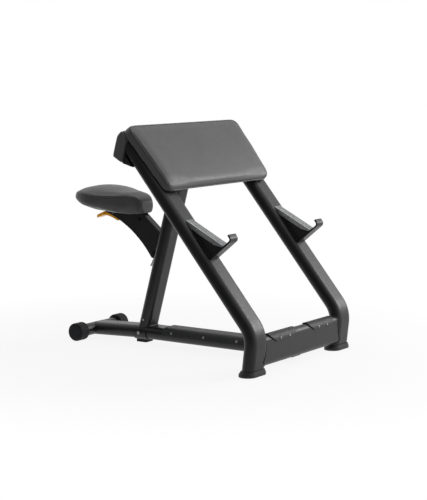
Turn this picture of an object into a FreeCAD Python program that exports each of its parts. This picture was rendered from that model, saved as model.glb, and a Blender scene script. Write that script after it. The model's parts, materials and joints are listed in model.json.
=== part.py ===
"""Preacher curl bench: a tube frame with two bar rests, an arm pad, a chest pad and a seat
on a carriage that slides in the post. X points forward, away from the user, and Z up."""
import FreeCAD, Part
import math
import os
from FreeCAD import Placement, Rotation, Vector

# Frame. Lengths along the bench are measured from the front feet, heights from the floor.
LEG_INSET = 59.0          # middle plane of each leg inside the arm pad's upper corner
TUBE_WIDTH = 104.0        # flat-oval tube of the legs and the spine, across the bench
TUBE_DEPTH = 52.0
TUBE_WALL = 3.0
LEG_LEAN = 6.6            # degrees, lower leg
LEG_SLOPE = 39.6          # degrees from upright, upper leg
KNEE_HEIGHT = 151.0
KNEE_RADIUS = 110.0
LEG_LENGTH = 900.0        # upper leg, before its end is cut to the chest pad's slope
LEG_CLEARANCE = 7.0       # end of the tube above the floor
FOOT_LENGTH = 128.0
FOOT_DEPTH = 68.0
FOOT_RIM = 9.0
FOOT_HEIGHT = 21.0
FOOT_COLLAR = 4.0
CROSS_HEIGHT = 112.0
CROSS_DEPTH = 44.0
CROSS_CLEARANCE = 27.0
TOP_TUBE_WIDTH = 76.0
TOP_TUBE_DEPTH = 40.0
TOP_TUBE_DROP = 100.0     # below the end of the legs
SPINE_CLEARANCE = 19.0
SPINE_BEND_BACK = 35.6    # behind the post, where the spine starts to dip to the rear crossbar
SPINE_BEND_RADIUS = 200.0
REAR_BACK = 249.6         # rear crossbar behind the post
REAR_DIAMETER = 50.0
REAR_LENGTH = 306.0
CAP_DIAMETER = 73.0
CAP_LENGTH = 58.0
CAP_FLOOR = 7.0
CAP_CHAMFER = 6.0

# Covers, straps and their screws.
COVER_WALL = 4.5
COVER_SIDE_GAP = 26.5     # between a wear cover and the leg
COVER_MIDDLE_GAP = 93.0   # between the two wear covers
COVER_WRAP = 28.0         # how far a wear cover comes down the front
COVER_DRAW_IN = 36.0      # how much its ends draw in on the way down
COVER_CORNER = 12.0
COVER_SCREW_TURN = 78.0   # degrees from the top of the tube
COVER_BACK = 12.0         # how far it goes back from the top
COVER_SCREW_PITCH = 62.0
TREAD_WALL = 5.5
TREAD_AHEAD = 114.4       # rear end of the tread plate ahead of the post
TREAD_LENGTH = 400.0
TREAD_EDGE = 50.0         # height of the lower edge
TREAD_SCREW_PITCH = 155.0
TREAD_SCREW_RISE = 25.0   # degrees above level
SCREW_HEAD = 9.0
SCREW_HEAD_HEIGHT = 2.6
SCREW_CHAMFER = 1.0
SCREW_SHANK = 4.6
SCREW_GRIP = 9.0
STRAP_WALL = 4.0
STRAP_LENGTH = 62.0
BLOCK_GAP = 2.0           # foot block above the floor
BLOCK_LENGTH = 50.0
BLOCK_WIDTH = 50.0
BLOCK_BACK = 12.0         # middle of the block behind the strap's
BLOCK_CORNER = 6.0
BOLT_DIAMETER = 8.0
BOLT_HEAD = 13.0
BOLT_HEAD_HEIGHT = 5.0

# Bar rests.
REST_WIDTH = 36.0
REST_BELOW = 302.0        # underside of the hook plate below the arm pad, along the leg
HOOK_WIDTH = 47.0
HOOK_THICKNESS = 7.0
HOOK_REACH = 122.0        # from the face of the leg to the outside of the lip
HOOK_LIP = 27.0
HOOK_BEND = 9.0           # inner radius
RAMP_ANGLE = 23.2         # between the wear strip and the leg
RAMP_BELOW = 126.0        # where the bracket's upper edge meets the leg, below the arm pad
BRACKET_WALL = 4.0
STRIP_WALL = 4.0
STRIP_FLANGE = 14.0
STRIP_END_GAP = 1.0       # between the strip and the hook plate
STRIP_GROOVES = 5
STRIP_GROOVE = 3.0
STRIP_GROOVE_DEPTH = 1.3
STRIP_SCREWS = (46.0, 126.0)  # along the strip, from the hook plate
STRIP_CUT = 36.0          # where the flanges' lower corners are cut off, along the strip
STRIP_CUT_DEPTH = 11.0

# Arm pad and chest pad.
PAD_LENGTH = 300.0
PAD_ABOVE = 22.0          # upper edge past the end of the legs
PAD_THICKNESS = 40.0
PAD_CROWN = 4.0
PAD_TOP_WIDTH = 738.0
PAD_TAPER = 46.0          # how much narrower the lower edge is
PAD_EDGE = 12.0
PAD_RIM = 8.0             # rounding of the slanted ends
PAD_SEAM = 3.0
PAD_CORNER = 26.0
PAD_ROUND = 36.0          # corners of its outline
BOARD_THICKNESS = 12.0
BOARD_MARGIN = 16.0
PAD_BOLTS = (68.0, 118.0)  # from the pad's lower edge
CHEST_LEAN = 15.6         # degrees from upright
CHEST_BACK = 28.4         # lower inner edge behind the rear face of the legs
CHEST_DROP = 94.4         # lower inner edge below the top of the pads, along the leg
CHEST_THICKNESS = 49.0
CHEST_INSET = 1.0         # ends inside the arm pad's
CHEST_GAP = 0.6           # between the two cushions
CHEST_BOARD_LENGTH = 76.0
CHEST_BOARD_START = 10.0
CHEST_PLATE_HEIGHT = 78.0
CHEST_TAB = 30.0          # inboard of the leg
CHEST_GUSSET_WIDTH = 96.0
CHEST_BOLT_PITCH = 36.0

# Post and the carriage that slides in it. Places along the post start at the spine's middle.
POST_WIDTH = 92.0
POST_DEPTH = 50.0
POST_LEAN = 15.3          # degrees
POST_TOP_BACK = 16.3      # middle line behind the middle of the top cross tube
TRAVEL = 100.0
NECK_START = 306.0
NECK_END = 410.0
SLOT_PLAY = 4.0           # past each end of the carriage's travel
SLOT_CLEARANCE = 1.0      # each side of the cheeks
GLIDE_CLEARANCE = 0.4
GLIDE_HEIGHT = 38.0
GLIDE_PAST = 9.5          # how far a glide goes past the end of the neck
GLIDE_DEPTH = 26.0        # how far the cheeks reach into the glides
GLIDE_PIN_DEPTH = 15.6
GLIDE_PIN_RISE = 22.8
CHEEK_WALL = 5.0
CHEEK_GAP = 22.0
PIN_DIAMETER = 8.0
GAS_DIAMETER = 22.0
GAS_WALL = 2.0
GAS_START = 62.0
GAS_GUIDE = 10.0
GAS_EYE = 18.0
GAS_EYE_WIDTH = 11.0
ROD_DIAMETER = 10.0
ROD_PLAY = 0.1
PISTON_HEIGHT = 8.0
PISTON_PLAY = 0.3
PISTON_SPARE = 3.0        # left over at each end of the travel
ROD_GRIP = 20.0           # length of rod held in the lower glide

# Seat bracket, seen from the side.
BRACKET_TOP = 531.0
BRACKET_TAIL_BACK = 197.6  # behind the foot of the post
BRACKET_FRONT_BACK = 5.6
TAIL_DEPTH = 9.0
FRONT_DROP = 6.0          # from the top to the straight front edge
FRONT_FOOT_BACK = 11.0    # lower end of that edge behind the post
FRONT_FOOT_RISE = 7.3     # and above the neck
TIP_BACK = 21.0           # lower tip behind the post
TIP_DROP = 3.4            # and below the neck
ARC_RISE = 24.8           # of the curved lower edge over its chord
UPPER_BOLT_BACK = 21.0    # from the upper end of the front edge
UPPER_BOLT_DROP = 25.0
LOWER_BOLT_BACK = 18.6    # from the post and the start of the neck
LOWER_BOLT_RISE = 15.9
WEB_WALL = 4.0
WEB_AHEAD = 56.0          # start of the curved web ahead of the lever's pin
SEAT_PLATE = 4.0
SEAT_PLATE_LENGTH = 156.0
SEAT_PLATE_WIDTH = 84.0
CLIP_WALL = 2.5           # spring clip under the lower tip
CLIP_WIDTH = 16.0
CLIP_LENGTH = 56.0
CLIP_LEAN = 12.0          # degrees from the post

# Seat: stations from the back to the nose.
SEAT_BOARD = 12.0
SEAT_BOARD_LENGTH = 160.0
SEAT_BOARD_WIDTH = 100.0
SEAT_SKIRT = 24.0         # room for the skirts' depth under the plate
SEAT_GAP = 1.5            # between the nose and the bracket
SEAT_DRAW_IN = 7.0
SEAT_BULGE = 3.0
SEAT_ROLL = 0.55          # share of the rise from rim to crown that the rolled edge takes
SEAT_BELLY_RADIUS = 520.0  # curve of the underside across the seat
SEAT_STATIONS = (
    # ahead of the plate's middle, half-width, heights of underside, rim and crown over the plate
    (-204.0, 54.0, 40.0, 50.0, 58.0),
    (-190.0, 92.0, 30.0, 60.0, 73.0),
    (-154.0, 127.0, 18.0, 64.0, 86.0),
    (-97.0, 146.0, 0.0, 57.0, 92.0),
    (-42.0, 138.0, -4.0, 52.0, 85.0),
    (8.0, 104.0, -11.0, 57.0, 75.0),
    (52.0, 72.0, -15.0, 63.0, 71.0),
    (84.0, 54.0, -13.0, 56.0, 63.0),
    (102.0, 43.0, -10.0, 42.0, 48.0),
    (109.0, 34.0, -3.0, 22.0, 28.0),
)

# Release lever, measured from its pin.
LEVER_PIN_AHEAD = 36.0    # of the cheeks' tail
LEVER_PIN_DROP = 6.0
LEVER_PIN_DIAMETER = 6.0
LEVER_PIN_PLAY = 0.05
LEVER_SIDE_PLAY = 0.5
LEVER_TONGUE_WIDTH = 46.0
LEVER_TONGUE_START = 40.0  # behind the pin
LEVER_TONGUE_DEPTH = 14.0
LEVER_TIP_BACK = 82.0
LEVER_TIP_DROP = 17.0
LEVER_TIP_RADIUS = 14.0
LEVER_THICKNESS = 10.0
LEVER_HEEL_AHEAD = 26.0
LEVER_HEEL_DROP = 24.0
LEVER_HEEL_DEPTH = 4.0
LEVER_BOSS = 8.0          # round the pin

# Places that follow from the sizes above.
LEG_Y = PAD_TOP_WIDTH / 2 - LEG_INSET
COVER_LENGTH = LEG_Y - TUBE_WIDTH / 2 - COVER_SIDE_GAP - COVER_MIDDLE_GAP / 2
COVER_PLACE = (COVER_MIDDLE_GAP + COVER_LENGTH) / 2  # middle of a wear cover from the bench's middle
KNEE_X = KNEE_HEIGHT * math.tan(math.radians(LEG_LEAN))
KNEE_TURN = math.radians(LEG_LEAN + LEG_SLOPE)
KNEE_BISECTOR = math.radians(LEG_SLOPE - LEG_LEAN) / 2
KNEE_FRONT = (KNEE_X - KNEE_RADIUS / math.cos(KNEE_TURN / 2) * math.cos(KNEE_BISECTOR)
              + KNEE_RADIUS + TUBE_DEPTH / 2)
SPINE_Z = SPINE_CLEARANCE + TUBE_DEPTH / 2
REAR_Z = CAP_DIAMETER / 2
CROSS_Z = CROSS_CLEARANCE + CROSS_HEIGHT / 2
CROSS_X = CROSS_Z * math.tan(math.radians(LEG_LEAN))
LEG_FACE = TUBE_DEPTH / 2
LEG_FRAME = Placement(Vector(KNEE_X, 0, KNEE_HEIGHT), Rotation(Vector(0, 1, 0), -LEG_SLOPE))
TOP_TUBE_PLACE = LEG_LENGTH - TOP_TUBE_DROP
TOP_TUBE = LEG_FRAME.multVec(Vector(0, 0, TOP_TUBE_PLACE))
POST_X = TOP_TUBE.x - POST_TOP_BACK - (TOP_TUBE.z - SPINE_Z) * math.tan(math.radians(POST_LEAN))
SPINE_BEND_X = POST_X - SPINE_BEND_BACK
REAR_X = POST_X - REAR_BACK
TREAD_START = POST_X + TREAD_AHEAD
STRAP_X = POST_X
PAD_END = LEG_LENGTH + PAD_ABOVE
PAD_START = PAD_END - PAD_LENGTH  # places along the upper leg start at the knee
REST_PLACE = PAD_START - REST_BELOW
RAMP_TOP = PAD_START - RAMP_BELOW
PAD_BOTTOM_WIDTH = PAD_TOP_WIDTH - PAD_TAPER
CHEST_WIDTH = PAD_TOP_WIDTH - 2 * CHEST_INSET
GAS_LENGTH = 2 * GAS_WALL + TRAVEL + PISTON_HEIGHT + 2 * PISTON_SPARE + GAS_GUIDE
BRACKET_TAIL = POST_X - BRACKET_TAIL_BACK
BRACKET_FRONT = POST_X - BRACKET_FRONT_BACK
SEAT_X = (BRACKET_TAIL + BRACKET_FRONT) / 2
LEVER_PIN_X = BRACKET_TAIL + LEVER_PIN_AHEAD
LEVER_PIN_Z = BRACKET_TOP - TAIL_DEPTH - LEVER_PIN_DROP
FOOT_X = -(KNEE_FRONT + SEAT_X + SEAT_STATIONS[0][0]) / 2  # front feet ahead of the bench's middle
BRACKET_WIDTH = CHEEK_GAP + 2 * CHEEK_WALL
POST_FRAME = Placement(Vector(POST_X, 0, SPINE_Z), Rotation(Vector(0, 1, 0), POST_LEAN))
CHEST_EDGE = LEG_FRAME.multVec(Vector(-LEG_FACE - CHEST_BACK, 0, PAD_END - CHEST_DROP))
CHEST_FRAME = Placement(CHEST_EDGE, Rotation(Vector(0, 1, 0), CHEST_LEAN))
ALONG_X = Rotation(Vector(0, 1, 0), 90)
ALONG_Y = Rotation(Vector(1, 0, 0), -90)


def box(size_x, size_y, size_z, corner):
    return Part.makeBox(size_x, size_y, size_z, Vector(*corner))


def placed(shape, placement):
    """A copy of a shape that was drawn in a frame of its own."""
    return shape.copy().transformed(placement.toMatrix())


def mirrored(shape):
    """The same piece on the other side of the bench."""
    return shape.mirror(Vector(0, 0, 0), Vector(0, 1, 0))


def oval(width, depth):
    """Flat-oval outline about the Z axis, its width along Y."""
    radius = depth / 2
    half = width / 2
    flat = half - radius
    return Part.Wire([
        Part.makeLine(Vector(radius, -flat, 0), Vector(radius, flat, 0)),
        Part.Arc(Vector(radius, flat, 0), Vector(0, half, 0), Vector(-radius, flat, 0)).toShape(),
        Part.makeLine(Vector(-radius, flat, 0), Vector(-radius, -flat, 0)),
        Part.Arc(Vector(-radius, -flat, 0), Vector(0, -half, 0), Vector(radius, -flat, 0)).toShape(),
    ])


def oval_bar(width, depth, start, end):
    """Solid flat-oval bar along Z."""
    face = Part.Face(oval(width, depth))
    face.translate(Vector(0, 0, start))
    return face.extrude(Vector(0, 0, end - start))


def oval_tube(width, depth, wall, start, end):
    hollow = oval_bar(width - 2 * wall, depth - 2 * wall, start - wall, end + wall)
    return oval_bar(width, depth, start, end).cut(hollow)


def side_plate(points, y_start, y_end):
    """Plate with a straight-edged outline in the XZ plane, from one Y to another."""
    corners = [Vector(x, y_start, z) for x, z in points]
    face = Part.Face(Part.makePolygon(corners + corners[:1]))
    return face.extrude(Vector(0, y_end - y_start, 0))


def rounded_profile(points, radii):
    """Closed outline in the XZ plane whose corners are arcs."""
    corners = [Vector(x, 0, z) for x, z in points]
    edges = []
    ends = []
    for index, corner in enumerate(corners):
        before = (corners[index - 1] - corner).normalize()
        after = (corners[(index + 1) % len(corners)] - corner).normalize()
        half = before.getAngle(after) / 2
        reach = radii[index] / math.tan(half)
        centre = corner + (before + after).normalize() * (radii[index] / math.sin(half))
        middle = centre + (corner - centre).normalize() * radii[index]
        ends.append((corner + before * reach, middle, corner + after * reach))
    for index, (first, middle, last) in enumerate(ends):
        edges.append(Part.Arc(first, middle, last).toShape())
        edges.append(Part.makeLine(last, ends[(index + 1) % len(ends)][0]))
    return Part.Wire(edges)


def bent_bar(outline, start, corner, end, radius):
    """Solid bar along two straight runs in the XZ plane that are joined by a bend."""
    back = (start - corner).normalize()
    ahead = (end - corner).normalize()
    half = back.getAngle(ahead) / 2
    reach = radius / math.tan(half)
    centre = corner + (back + ahead).normalize() * (radius / math.sin(half))
    first = corner + back * reach
    last = corner + ahead * reach
    axis = back.cross(ahead).normalize()
    turn = 180 - math.degrees(2 * half)
    face = Part.Face(outline)
    lower = face.extrude(first - start)
    face.translate(first - start)
    bend = face.revolve(centre, axis, -turn)
    face.rotate(centre, axis, -turn)
    upper = face.extrude(end - last)
    return lower.fuse([bend, upper]).removeSplitter()


def round_bar(diameter, start, end):
    """Round bar from one point to another."""
    axis = end - start
    return Part.makeCylinder(diameter / 2, axis.Length, start, axis)


def screw(seat, direction):
    """Pan-head screw with its head on the seat and its shank along the direction."""
    head = Part.makeCylinder(SCREW_HEAD / 2, SCREW_HEAD_HEIGHT, seat, direction * -1)
    outer = [edge for edge in head.Edges
             if abs(edge.CenterOfMass.distanceToPoint(seat) - SCREW_HEAD_HEIGHT) < 0.01]
    head = head.makeChamfer(SCREW_CHAMFER, outer)
    return head.fuse(Part.makeCylinder(SCREW_SHANK / 2, SCREW_GRIP, seat, direction))


def screw_hole(seat, direction):
    return Part.makeCylinder(SCREW_SHANK / 2, SCREW_GRIP, seat, direction)


def cross_bolt(place, half_span):
    """Bolt across the bench at (x, z), with a head and a nut outside the span."""
    x, z = place
    shank = round_bar(BOLT_DIAMETER, Vector(x, -half_span, z), Vector(x, half_span, z))
    head = round_bar(BOLT_HEAD, Vector(x, -half_span - BOLT_HEAD_HEIGHT, z), Vector(x, -half_span, z))
    nut = round_bar(BOLT_HEAD, Vector(x, half_span, z), Vector(x, half_span + BOLT_HEAD_HEIGHT, z))
    return shank.fuse([head, nut]).removeSplitter()


# Frame tubes.

def leg_bar(inset):
    """Right leg as a solid bar, thinner by the inset on every side."""
    lean = math.radians(LEG_LEAN)
    start = Vector(LEG_CLEARANCE * math.tan(lean), -LEG_Y, LEG_CLEARANCE)
    corner = Vector(KNEE_X, -LEG_Y, KNEE_HEIGHT)
    end = LEG_FRAME.multVec(Vector(0, -LEG_Y, LEG_LENGTH))
    outline = oval(TUBE_WIDTH - 2 * inset, TUBE_DEPTH - 2 * inset)
    outline.Placement = Placement(start, Rotation(Vector(0, 1, 0), LEG_LEAN))
    return bent_bar(outline, start, corner, end, KNEE_RADIUS)


def leg():
    """Right leg: bent tube with the holes of the pad bolts."""
    tube = leg_bar(0).cut(leg_bar(TUBE_WALL)).cut(behind_leg_ends())
    return tube.cut(arm_pad_bolts())


def behind_leg_ends():
    """Space on the user's side of the plates that close the legs' upper ends."""
    reach = 2 * LEG_LENGTH
    return placed(box(reach, reach, reach, (BRACKET_WALL - reach, -reach / 2, -reach / 2)), CHEST_FRAME)


def front_foot():
    """Flared rubber shoe round the lower end of the right leg."""
    sole = oval_bar(FOOT_LENGTH, FOOT_DEPTH, 0, FOOT_RIM)
    rim = oval(FOOT_LENGTH, FOOT_DEPTH)
    rim.translate(Vector(0, 0, FOOT_RIM))
    collar = oval(TUBE_WIDTH + 2 * FOOT_COLLAR, TUBE_DEPTH + 2 * FOOT_COLLAR)
    collar.translate(Vector(FOOT_HEIGHT * math.tan(math.radians(LEG_LEAN)), 0, FOOT_HEIGHT))
    shoe = sole.fuse(Part.makeLoft([rim, collar], True, True))
    shoe.translate(Vector(0, -LEG_Y, 0))
    return shoe.cut(leg_bar(0))


def cross_bar(inset):
    """Front cross tube as a solid bar, standing on edge across the bench."""
    bar = oval_bar(CROSS_HEIGHT - 2 * inset, CROSS_DEPTH - 2 * inset, -LEG_Y, LEG_Y)
    return placed(bar, Placement(Vector(CROSS_X, 0, CROSS_Z), ALONG_Y))


def front_cross_tube():
    """Tube between the legs, its ends cut to their round sides."""
    holes = Part.makeCompound([screw_hole(seat, direction) for seat, direction in cover_screw_seats()])
    tube = cross_bar(0).cut(cross_bar(TUBE_WALL)).cut([leg_bar(0), mirrored(leg_bar(0))])
    return largest(tube.cut([holes, mirrored(holes)]))


def largest(shape):
    """The main solid that a cut leaves."""
    return max(shape.Solids, key=lambda solid: solid.Volume)


def top_bar(inset):
    bar = oval_bar(TOP_TUBE_WIDTH - 2 * inset, TOP_TUBE_DEPTH - 2 * inset, -LEG_Y, LEG_Y)
    across = Placement(Vector(0, 0, TOP_TUBE_PLACE), ALONG_Y)
    return placed(placed(bar, across), LEG_FRAME)


def top_cross_tube():
    tube = top_bar(0).cut(top_bar(TUBE_WALL)).cut([leg_bar(0), mirrored(leg_bar(0))])
    return largest(tube)


def spine_bar(inset):
    """Spine as a solid bar, level to the bend and then dipping to the rear crossbar."""
    start = Vector(CROSS_X - CROSS_DEPTH / 4, 0, SPINE_Z)
    corner = Vector(SPINE_BEND_X, 0, SPINE_Z)
    end = Vector(REAR_X, 0, REAR_Z)
    outline = oval(TUBE_WIDTH - 2 * inset, TUBE_DEPTH - 2 * inset)
    outline.Placement = Placement(start, ALONG_X)
    return bent_bar(outline, start, corner, end, SPINE_BEND_RADIUS)


def rear_bar(inset):
    ends = [Vector(REAR_X, sign * REAR_LENGTH / 2, REAR_Z) for sign in (-1, 1)]
    return round_bar(REAR_DIAMETER - 2 * inset, *ends)


def base_spine():
    holes = [screw_hole(seat, direction) for seat, direction in tread_screw_seats()]
    holes.append(cross_bolt((STRAP_X, SPINE_Z), TUBE_WIDTH / 2 + STRAP_WALL))
    tube = spine_bar(0).cut(spine_bar(TUBE_WALL)).cut([cross_bar(0), rear_bar(0)])
    return largest(tube.cut(holes))


def rear_crossbar():
    return rear_bar(0).cut(rear_bar(TUBE_WALL))


def rear_cap():
    """Rubber cap over the right end of the rear crossbar."""
    outside = -REAR_LENGTH / 2 - CAP_FLOOR
    start = Vector(REAR_X, outside, REAR_Z)
    cap = round_bar(CAP_DIAMETER, start, start + Vector(0, CAP_LENGTH, 0))
    rims = [edge for edge in cap.Edges if edge.Length > CAP_DIAMETER * 2]
    return cap.makeChamfer(CAP_CHAMFER, rims).cut(rear_bar(0))


def seat_post():
    """Post from the spine to the top cross tube, slotted at the back for the carriage."""
    height = LEG_LENGTH
    post = oval_tube(POST_WIDTH, POST_DEPTH, TUBE_WALL, 0, height)
    slot_width = BRACKET_WIDTH + 2 * SLOT_CLEARANCE
    slot_start = NECK_START - TRAVEL - SLOT_PLAY
    slot_height = NECK_END + SLOT_PLAY - slot_start
    slot = box(2 * TUBE_WALL, slot_width, slot_height,
               (-POST_DEPTH / 2 - TUBE_WALL, -slot_width / 2, slot_start))
    post = placed(post.cut([slot, gas_spring_pin_local()]), POST_FRAME)
    return largest(post.cut([spine_bar(0), top_bar(0)]).common(below_pads()))


def below_pads():
    """Space behind the rear face of the top cross tube, which ends the post."""
    reach = 4 * LEG_LENGTH
    space = box(reach, reach, reach, (-reach, -reach / 2, -reach / 2))
    return placed(space, LEG_FRAME)


# Covers and straps.

def wear_cover():
    """Curved cover over the top and front of the cross tube, on the right."""
    half = COVER_LENGTH / 2
    bar = oval_bar(CROSS_HEIGHT + 2 * COVER_WALL, CROSS_DEPTH + 2 * COVER_WALL, -half, half)
    bar = placed(bar, Placement(Vector(CROSS_X, -COVER_PLACE, CROSS_Z), ALONG_Y))
    top = CROSS_Z + CROSS_HEIGHT / 2
    shoulder = top - COVER_WALL
    foot = top - COVER_WRAP
    outline = rounded_profile(
        [(-half, top + CROSS_DEPTH), (half, top + CROSS_DEPTH), (half, shoulder),
         (half - COVER_DRAW_IN, foot), (COVER_DRAW_IN - half, foot), (-half, shoulder)], [COVER_CORNER] * 6)
    kept = Part.Face(outline)
    kept.rotate(Vector(0, 0, 0), Vector(0, 0, 1), 90)
    kept.translate(Vector(CROSS_X - COVER_BACK, -COVER_PLACE, 0))
    kept = kept.extrude(Vector(CROSS_DEPTH + COVER_BACK, 0, 0))
    cover = bar.common(kept).cut(cross_bar(0))
    return cover.cut([screw_hole(seat, direction) for seat, direction in cover_screw_seats()])


def cover_screw_seats():
    """Seats of the right cover's two screws, low on its front."""
    radius = CROSS_DEPTH / 2 + COVER_WALL
    turn = math.radians(COVER_SCREW_TURN)
    direction = Vector(-math.sin(turn), 0, -math.cos(turn))
    centre = Vector(CROSS_X, -COVER_PLACE, CROSS_Z + CROSS_HEIGHT / 2 - CROSS_DEPTH / 2)
    return [(centre - direction * radius + Vector(0, sign * COVER_SCREW_PITCH / 2, 0), direction)
            for sign in (-1, 1)]


def spine_cover():
    """Arched tread plate over the spine."""
    bar = oval_bar(TUBE_WIDTH + 2 * TREAD_WALL, TUBE_DEPTH + 2 * TREAD_WALL, 0, TREAD_LENGTH)
    bar = placed(bar, Placement(Vector(TREAD_START, 0, SPINE_Z), ALONG_X))
    kept = box(TREAD_LENGTH, 2 * TUBE_WIDTH, TUBE_WIDTH, (TREAD_START, -TUBE_WIDTH, TREAD_EDGE))
    cover = bar.common(kept).cut(spine_bar(0))
    return cover.cut([screw_hole(seat, direction) for seat, direction in tread_screw_seats()])


def tread_screw_seats():
    """Seats of the tread plate's six screws, three on each flank."""
    radius = TUBE_DEPTH / 2 + TREAD_WALL
    rise = math.radians(TREAD_SCREW_RISE)
    middle = TREAD_START + TREAD_LENGTH / 2
    seats = []
    for sign in (-1, 1):
        direction = Vector(0, -sign * math.cos(rise), -math.sin(rise))
        centre = Vector(middle, sign * (TUBE_WIDTH - TUBE_DEPTH) / 2, SPINE_Z)
        for step in (-1, 0, 1):
            seats.append((centre - direction * radius + Vector(step * TREAD_SCREW_PITCH, 0, 0), direction))
    return seats


def foot_strap():
    """Strap under the spine that carries the foot block."""
    half = STRAP_LENGTH / 2
    bar = oval_bar(TUBE_WIDTH + 2 * STRAP_WALL, TUBE_DEPTH + 2 * STRAP_WALL, -half, half)
    bar = placed(bar, Placement(Vector(STRAP_X, 0, SPINE_Z), ALONG_X))
    kept = box(STRAP_LENGTH, 2 * TUBE_WIDTH, TUBE_WIDTH,
               (STRAP_X - half, -TUBE_WIDTH, SPINE_Z + BOLT_HEAD / 2 - TUBE_WIDTH))
    strap = bar.common(kept).cut(spine_bar(0))
    return strap.cut(cross_bolt((STRAP_X, SPINE_Z), TUBE_WIDTH / 2 + STRAP_WALL))


def foot_block():
    """Rubber block under the strap, just clear of the floor."""
    height = SPINE_CLEARANCE - STRAP_WALL - BLOCK_GAP
    block = box(BLOCK_LENGTH, BLOCK_WIDTH, height,
                (STRAP_X - BLOCK_BACK - BLOCK_LENGTH / 2, -BLOCK_WIDTH / 2, BLOCK_GAP))
    uprights = [edge for edge in block.Edges if abs(edge.tangentAt(edge.FirstParameter).z) > 0.9]
    return block.makeFillet(BLOCK_CORNER, uprights)


# Bar rests, drawn in the leg's frame: X off the leg's face, Z along the leg.

def ramp_height(place):
    """Height of the bracket's upper edge over the middle of the leg."""
    return LEG_FACE + (RAMP_TOP - place) * math.tan(math.radians(RAMP_ANGLE))


def hook_plate():
    """Right hook plate: a flat bar square to the leg with a lip at its end."""
    low = REST_PLACE
    end = LEG_FACE + HOOK_REACH
    bar = box(HOOK_REACH, HOOK_WIDTH, HOOK_THICKNESS, (LEG_FACE, -HOOK_WIDTH / 2, low))
    lip = box(HOOK_THICKNESS, HOOK_WIDTH, HOOK_LIP, (end - HOOK_THICKNESS, -HOOK_WIDTH / 2, low))
    hook = bar.fuse(lip).removeSplitter()
    outer = edges_at(hook, end, low)
    hook = hook.makeFillet(HOOK_BEND + HOOK_THICKNESS, outer)
    inner = edges_at(hook, end - HOOK_THICKNESS, low + HOOK_THICKNESS)
    hook = hook.makeFillet(HOOK_BEND, inner)
    return on_right_leg(hook)


def edges_at(shape, x, z):
    """Edges across the bench at one place of a section."""
    return [edge for edge in shape.Edges
            if abs(edge.CenterOfMass.x - x) < 0.01 and abs(edge.CenterOfMass.z - z) < 0.01]


def edges_beside(shape, x, half_width):
    """Upright edges at one X on both sides of the middle plane."""
    return [edge for edge in shape.Edges
            if abs(edge.CenterOfMass.x - x) < 0.01 and abs(abs(edge.CenterOfMass.y) - half_width) < 0.01]


def on_right_leg(shape):
    shape.translate(Vector(0, -LEG_Y, 0))
    return placed(shape, LEG_FRAME)


def rest_wedge(inset, width):
    """Wedge between the leg, the hook plate and the wear strip."""
    low = REST_PLACE + HOOK_THICKNESS
    drop = inset / math.cos(math.radians(RAMP_ANGLE))
    points = [(LEG_FACE, low), (ramp_height(low) - drop, low),
              (LEG_FACE, RAMP_TOP - drop / math.tan(math.radians(RAMP_ANGLE)))]
    return side_plate(points, -width / 2, width / 2)


def rest_bracket():
    """Right bracket: folded sheet, open to the leg and to the hook plate."""
    bracket = rest_wedge(0, REST_WIDTH).cut(rest_wedge(BRACKET_WALL, REST_WIDTH - 2 * BRACKET_WALL))
    return on_right_leg(bracket.cut(strip_holes()))


def strip_frame():
    """Frame of the wear strip: Z up along the strip from the hook plate, X out of its seat."""
    low = REST_PLACE + HOOK_THICKNESS + STRIP_END_GAP
    return Placement(Vector(ramp_height(low), 0, low), Rotation(Vector(0, 1, 0), -RAMP_ANGLE))


def strip_length():
    low = REST_PLACE + HOOK_THICKNESS + STRIP_END_GAP
    return (RAMP_TOP - low) / math.cos(math.radians(RAMP_ANGLE))


def strip_screw_seats():
    """Seats of the right strip's screws, two on each flange."""
    half = REST_WIDTH / 2 + STRIP_WALL
    return [(Vector(-STRIP_FLANGE / 2, sign * half, place), Vector(0, -sign, 0))
            for sign in (-1, 1) for place in STRIP_SCREWS]


def strip_holes():
    holes = Part.makeCompound([screw_hole(seat, direction) for seat, direction in strip_screw_seats()])
    return placed(holes, strip_frame())


def wear_strip():
    """Right wear strip: a grooved cap over the bracket's upper edge, with two flanges."""
    length = strip_length()
    width = REST_WIDTH + 2 * STRIP_WALL
    cap = box(STRIP_FLANGE + STRIP_WALL, width, length, (-STRIP_FLANGE, -width / 2, 0))
    shoulders = edges_beside(cap, STRIP_WALL, width / 2)
    cap = cap.makeFillet(STRIP_WALL, shoulders)
    pitch = REST_WIDTH / STRIP_GROOVES
    for index in range(STRIP_GROOVES):
        y = (index - (STRIP_GROOVES - 1) / 2) * pitch
        groove = box(2 * STRIP_GROOVE_DEPTH, STRIP_GROOVE, length,
                     (STRIP_WALL - STRIP_GROOVE_DEPTH, y - STRIP_GROOVE / 2, 0))
        cap = cap.cut(groove)
    corner = side_plate([(-2 * STRIP_FLANGE, 0), (STRIP_CUT_DEPTH - STRIP_FLANGE, 0),
                         (-STRIP_FLANGE, STRIP_CUT), (-2 * STRIP_FLANGE, STRIP_CUT)], -width, width)
    cap = placed(cap.cut(corner), strip_frame())
    face = box(TUBE_DEPTH, 2 * width, 2 * LEG_LENGTH, (LEG_FACE - TUBE_DEPTH, -width, 0))
    floor = box(4 * HOOK_REACH, 2 * width, HOOK_THICKNESS + STRIP_END_GAP,
                (-HOOK_REACH, -width, REST_PLACE))
    return on_right_leg(largest(cap.cut([rest_wedge(0, REST_WIDTH), face, floor, strip_holes()])))


def wear_strip_screws():
    screws = [screw(seat, direction) for seat, direction in strip_screw_seats()]
    return on_right_leg(placed(Part.makeCompound(screws), strip_frame()))


# Pads.

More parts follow.
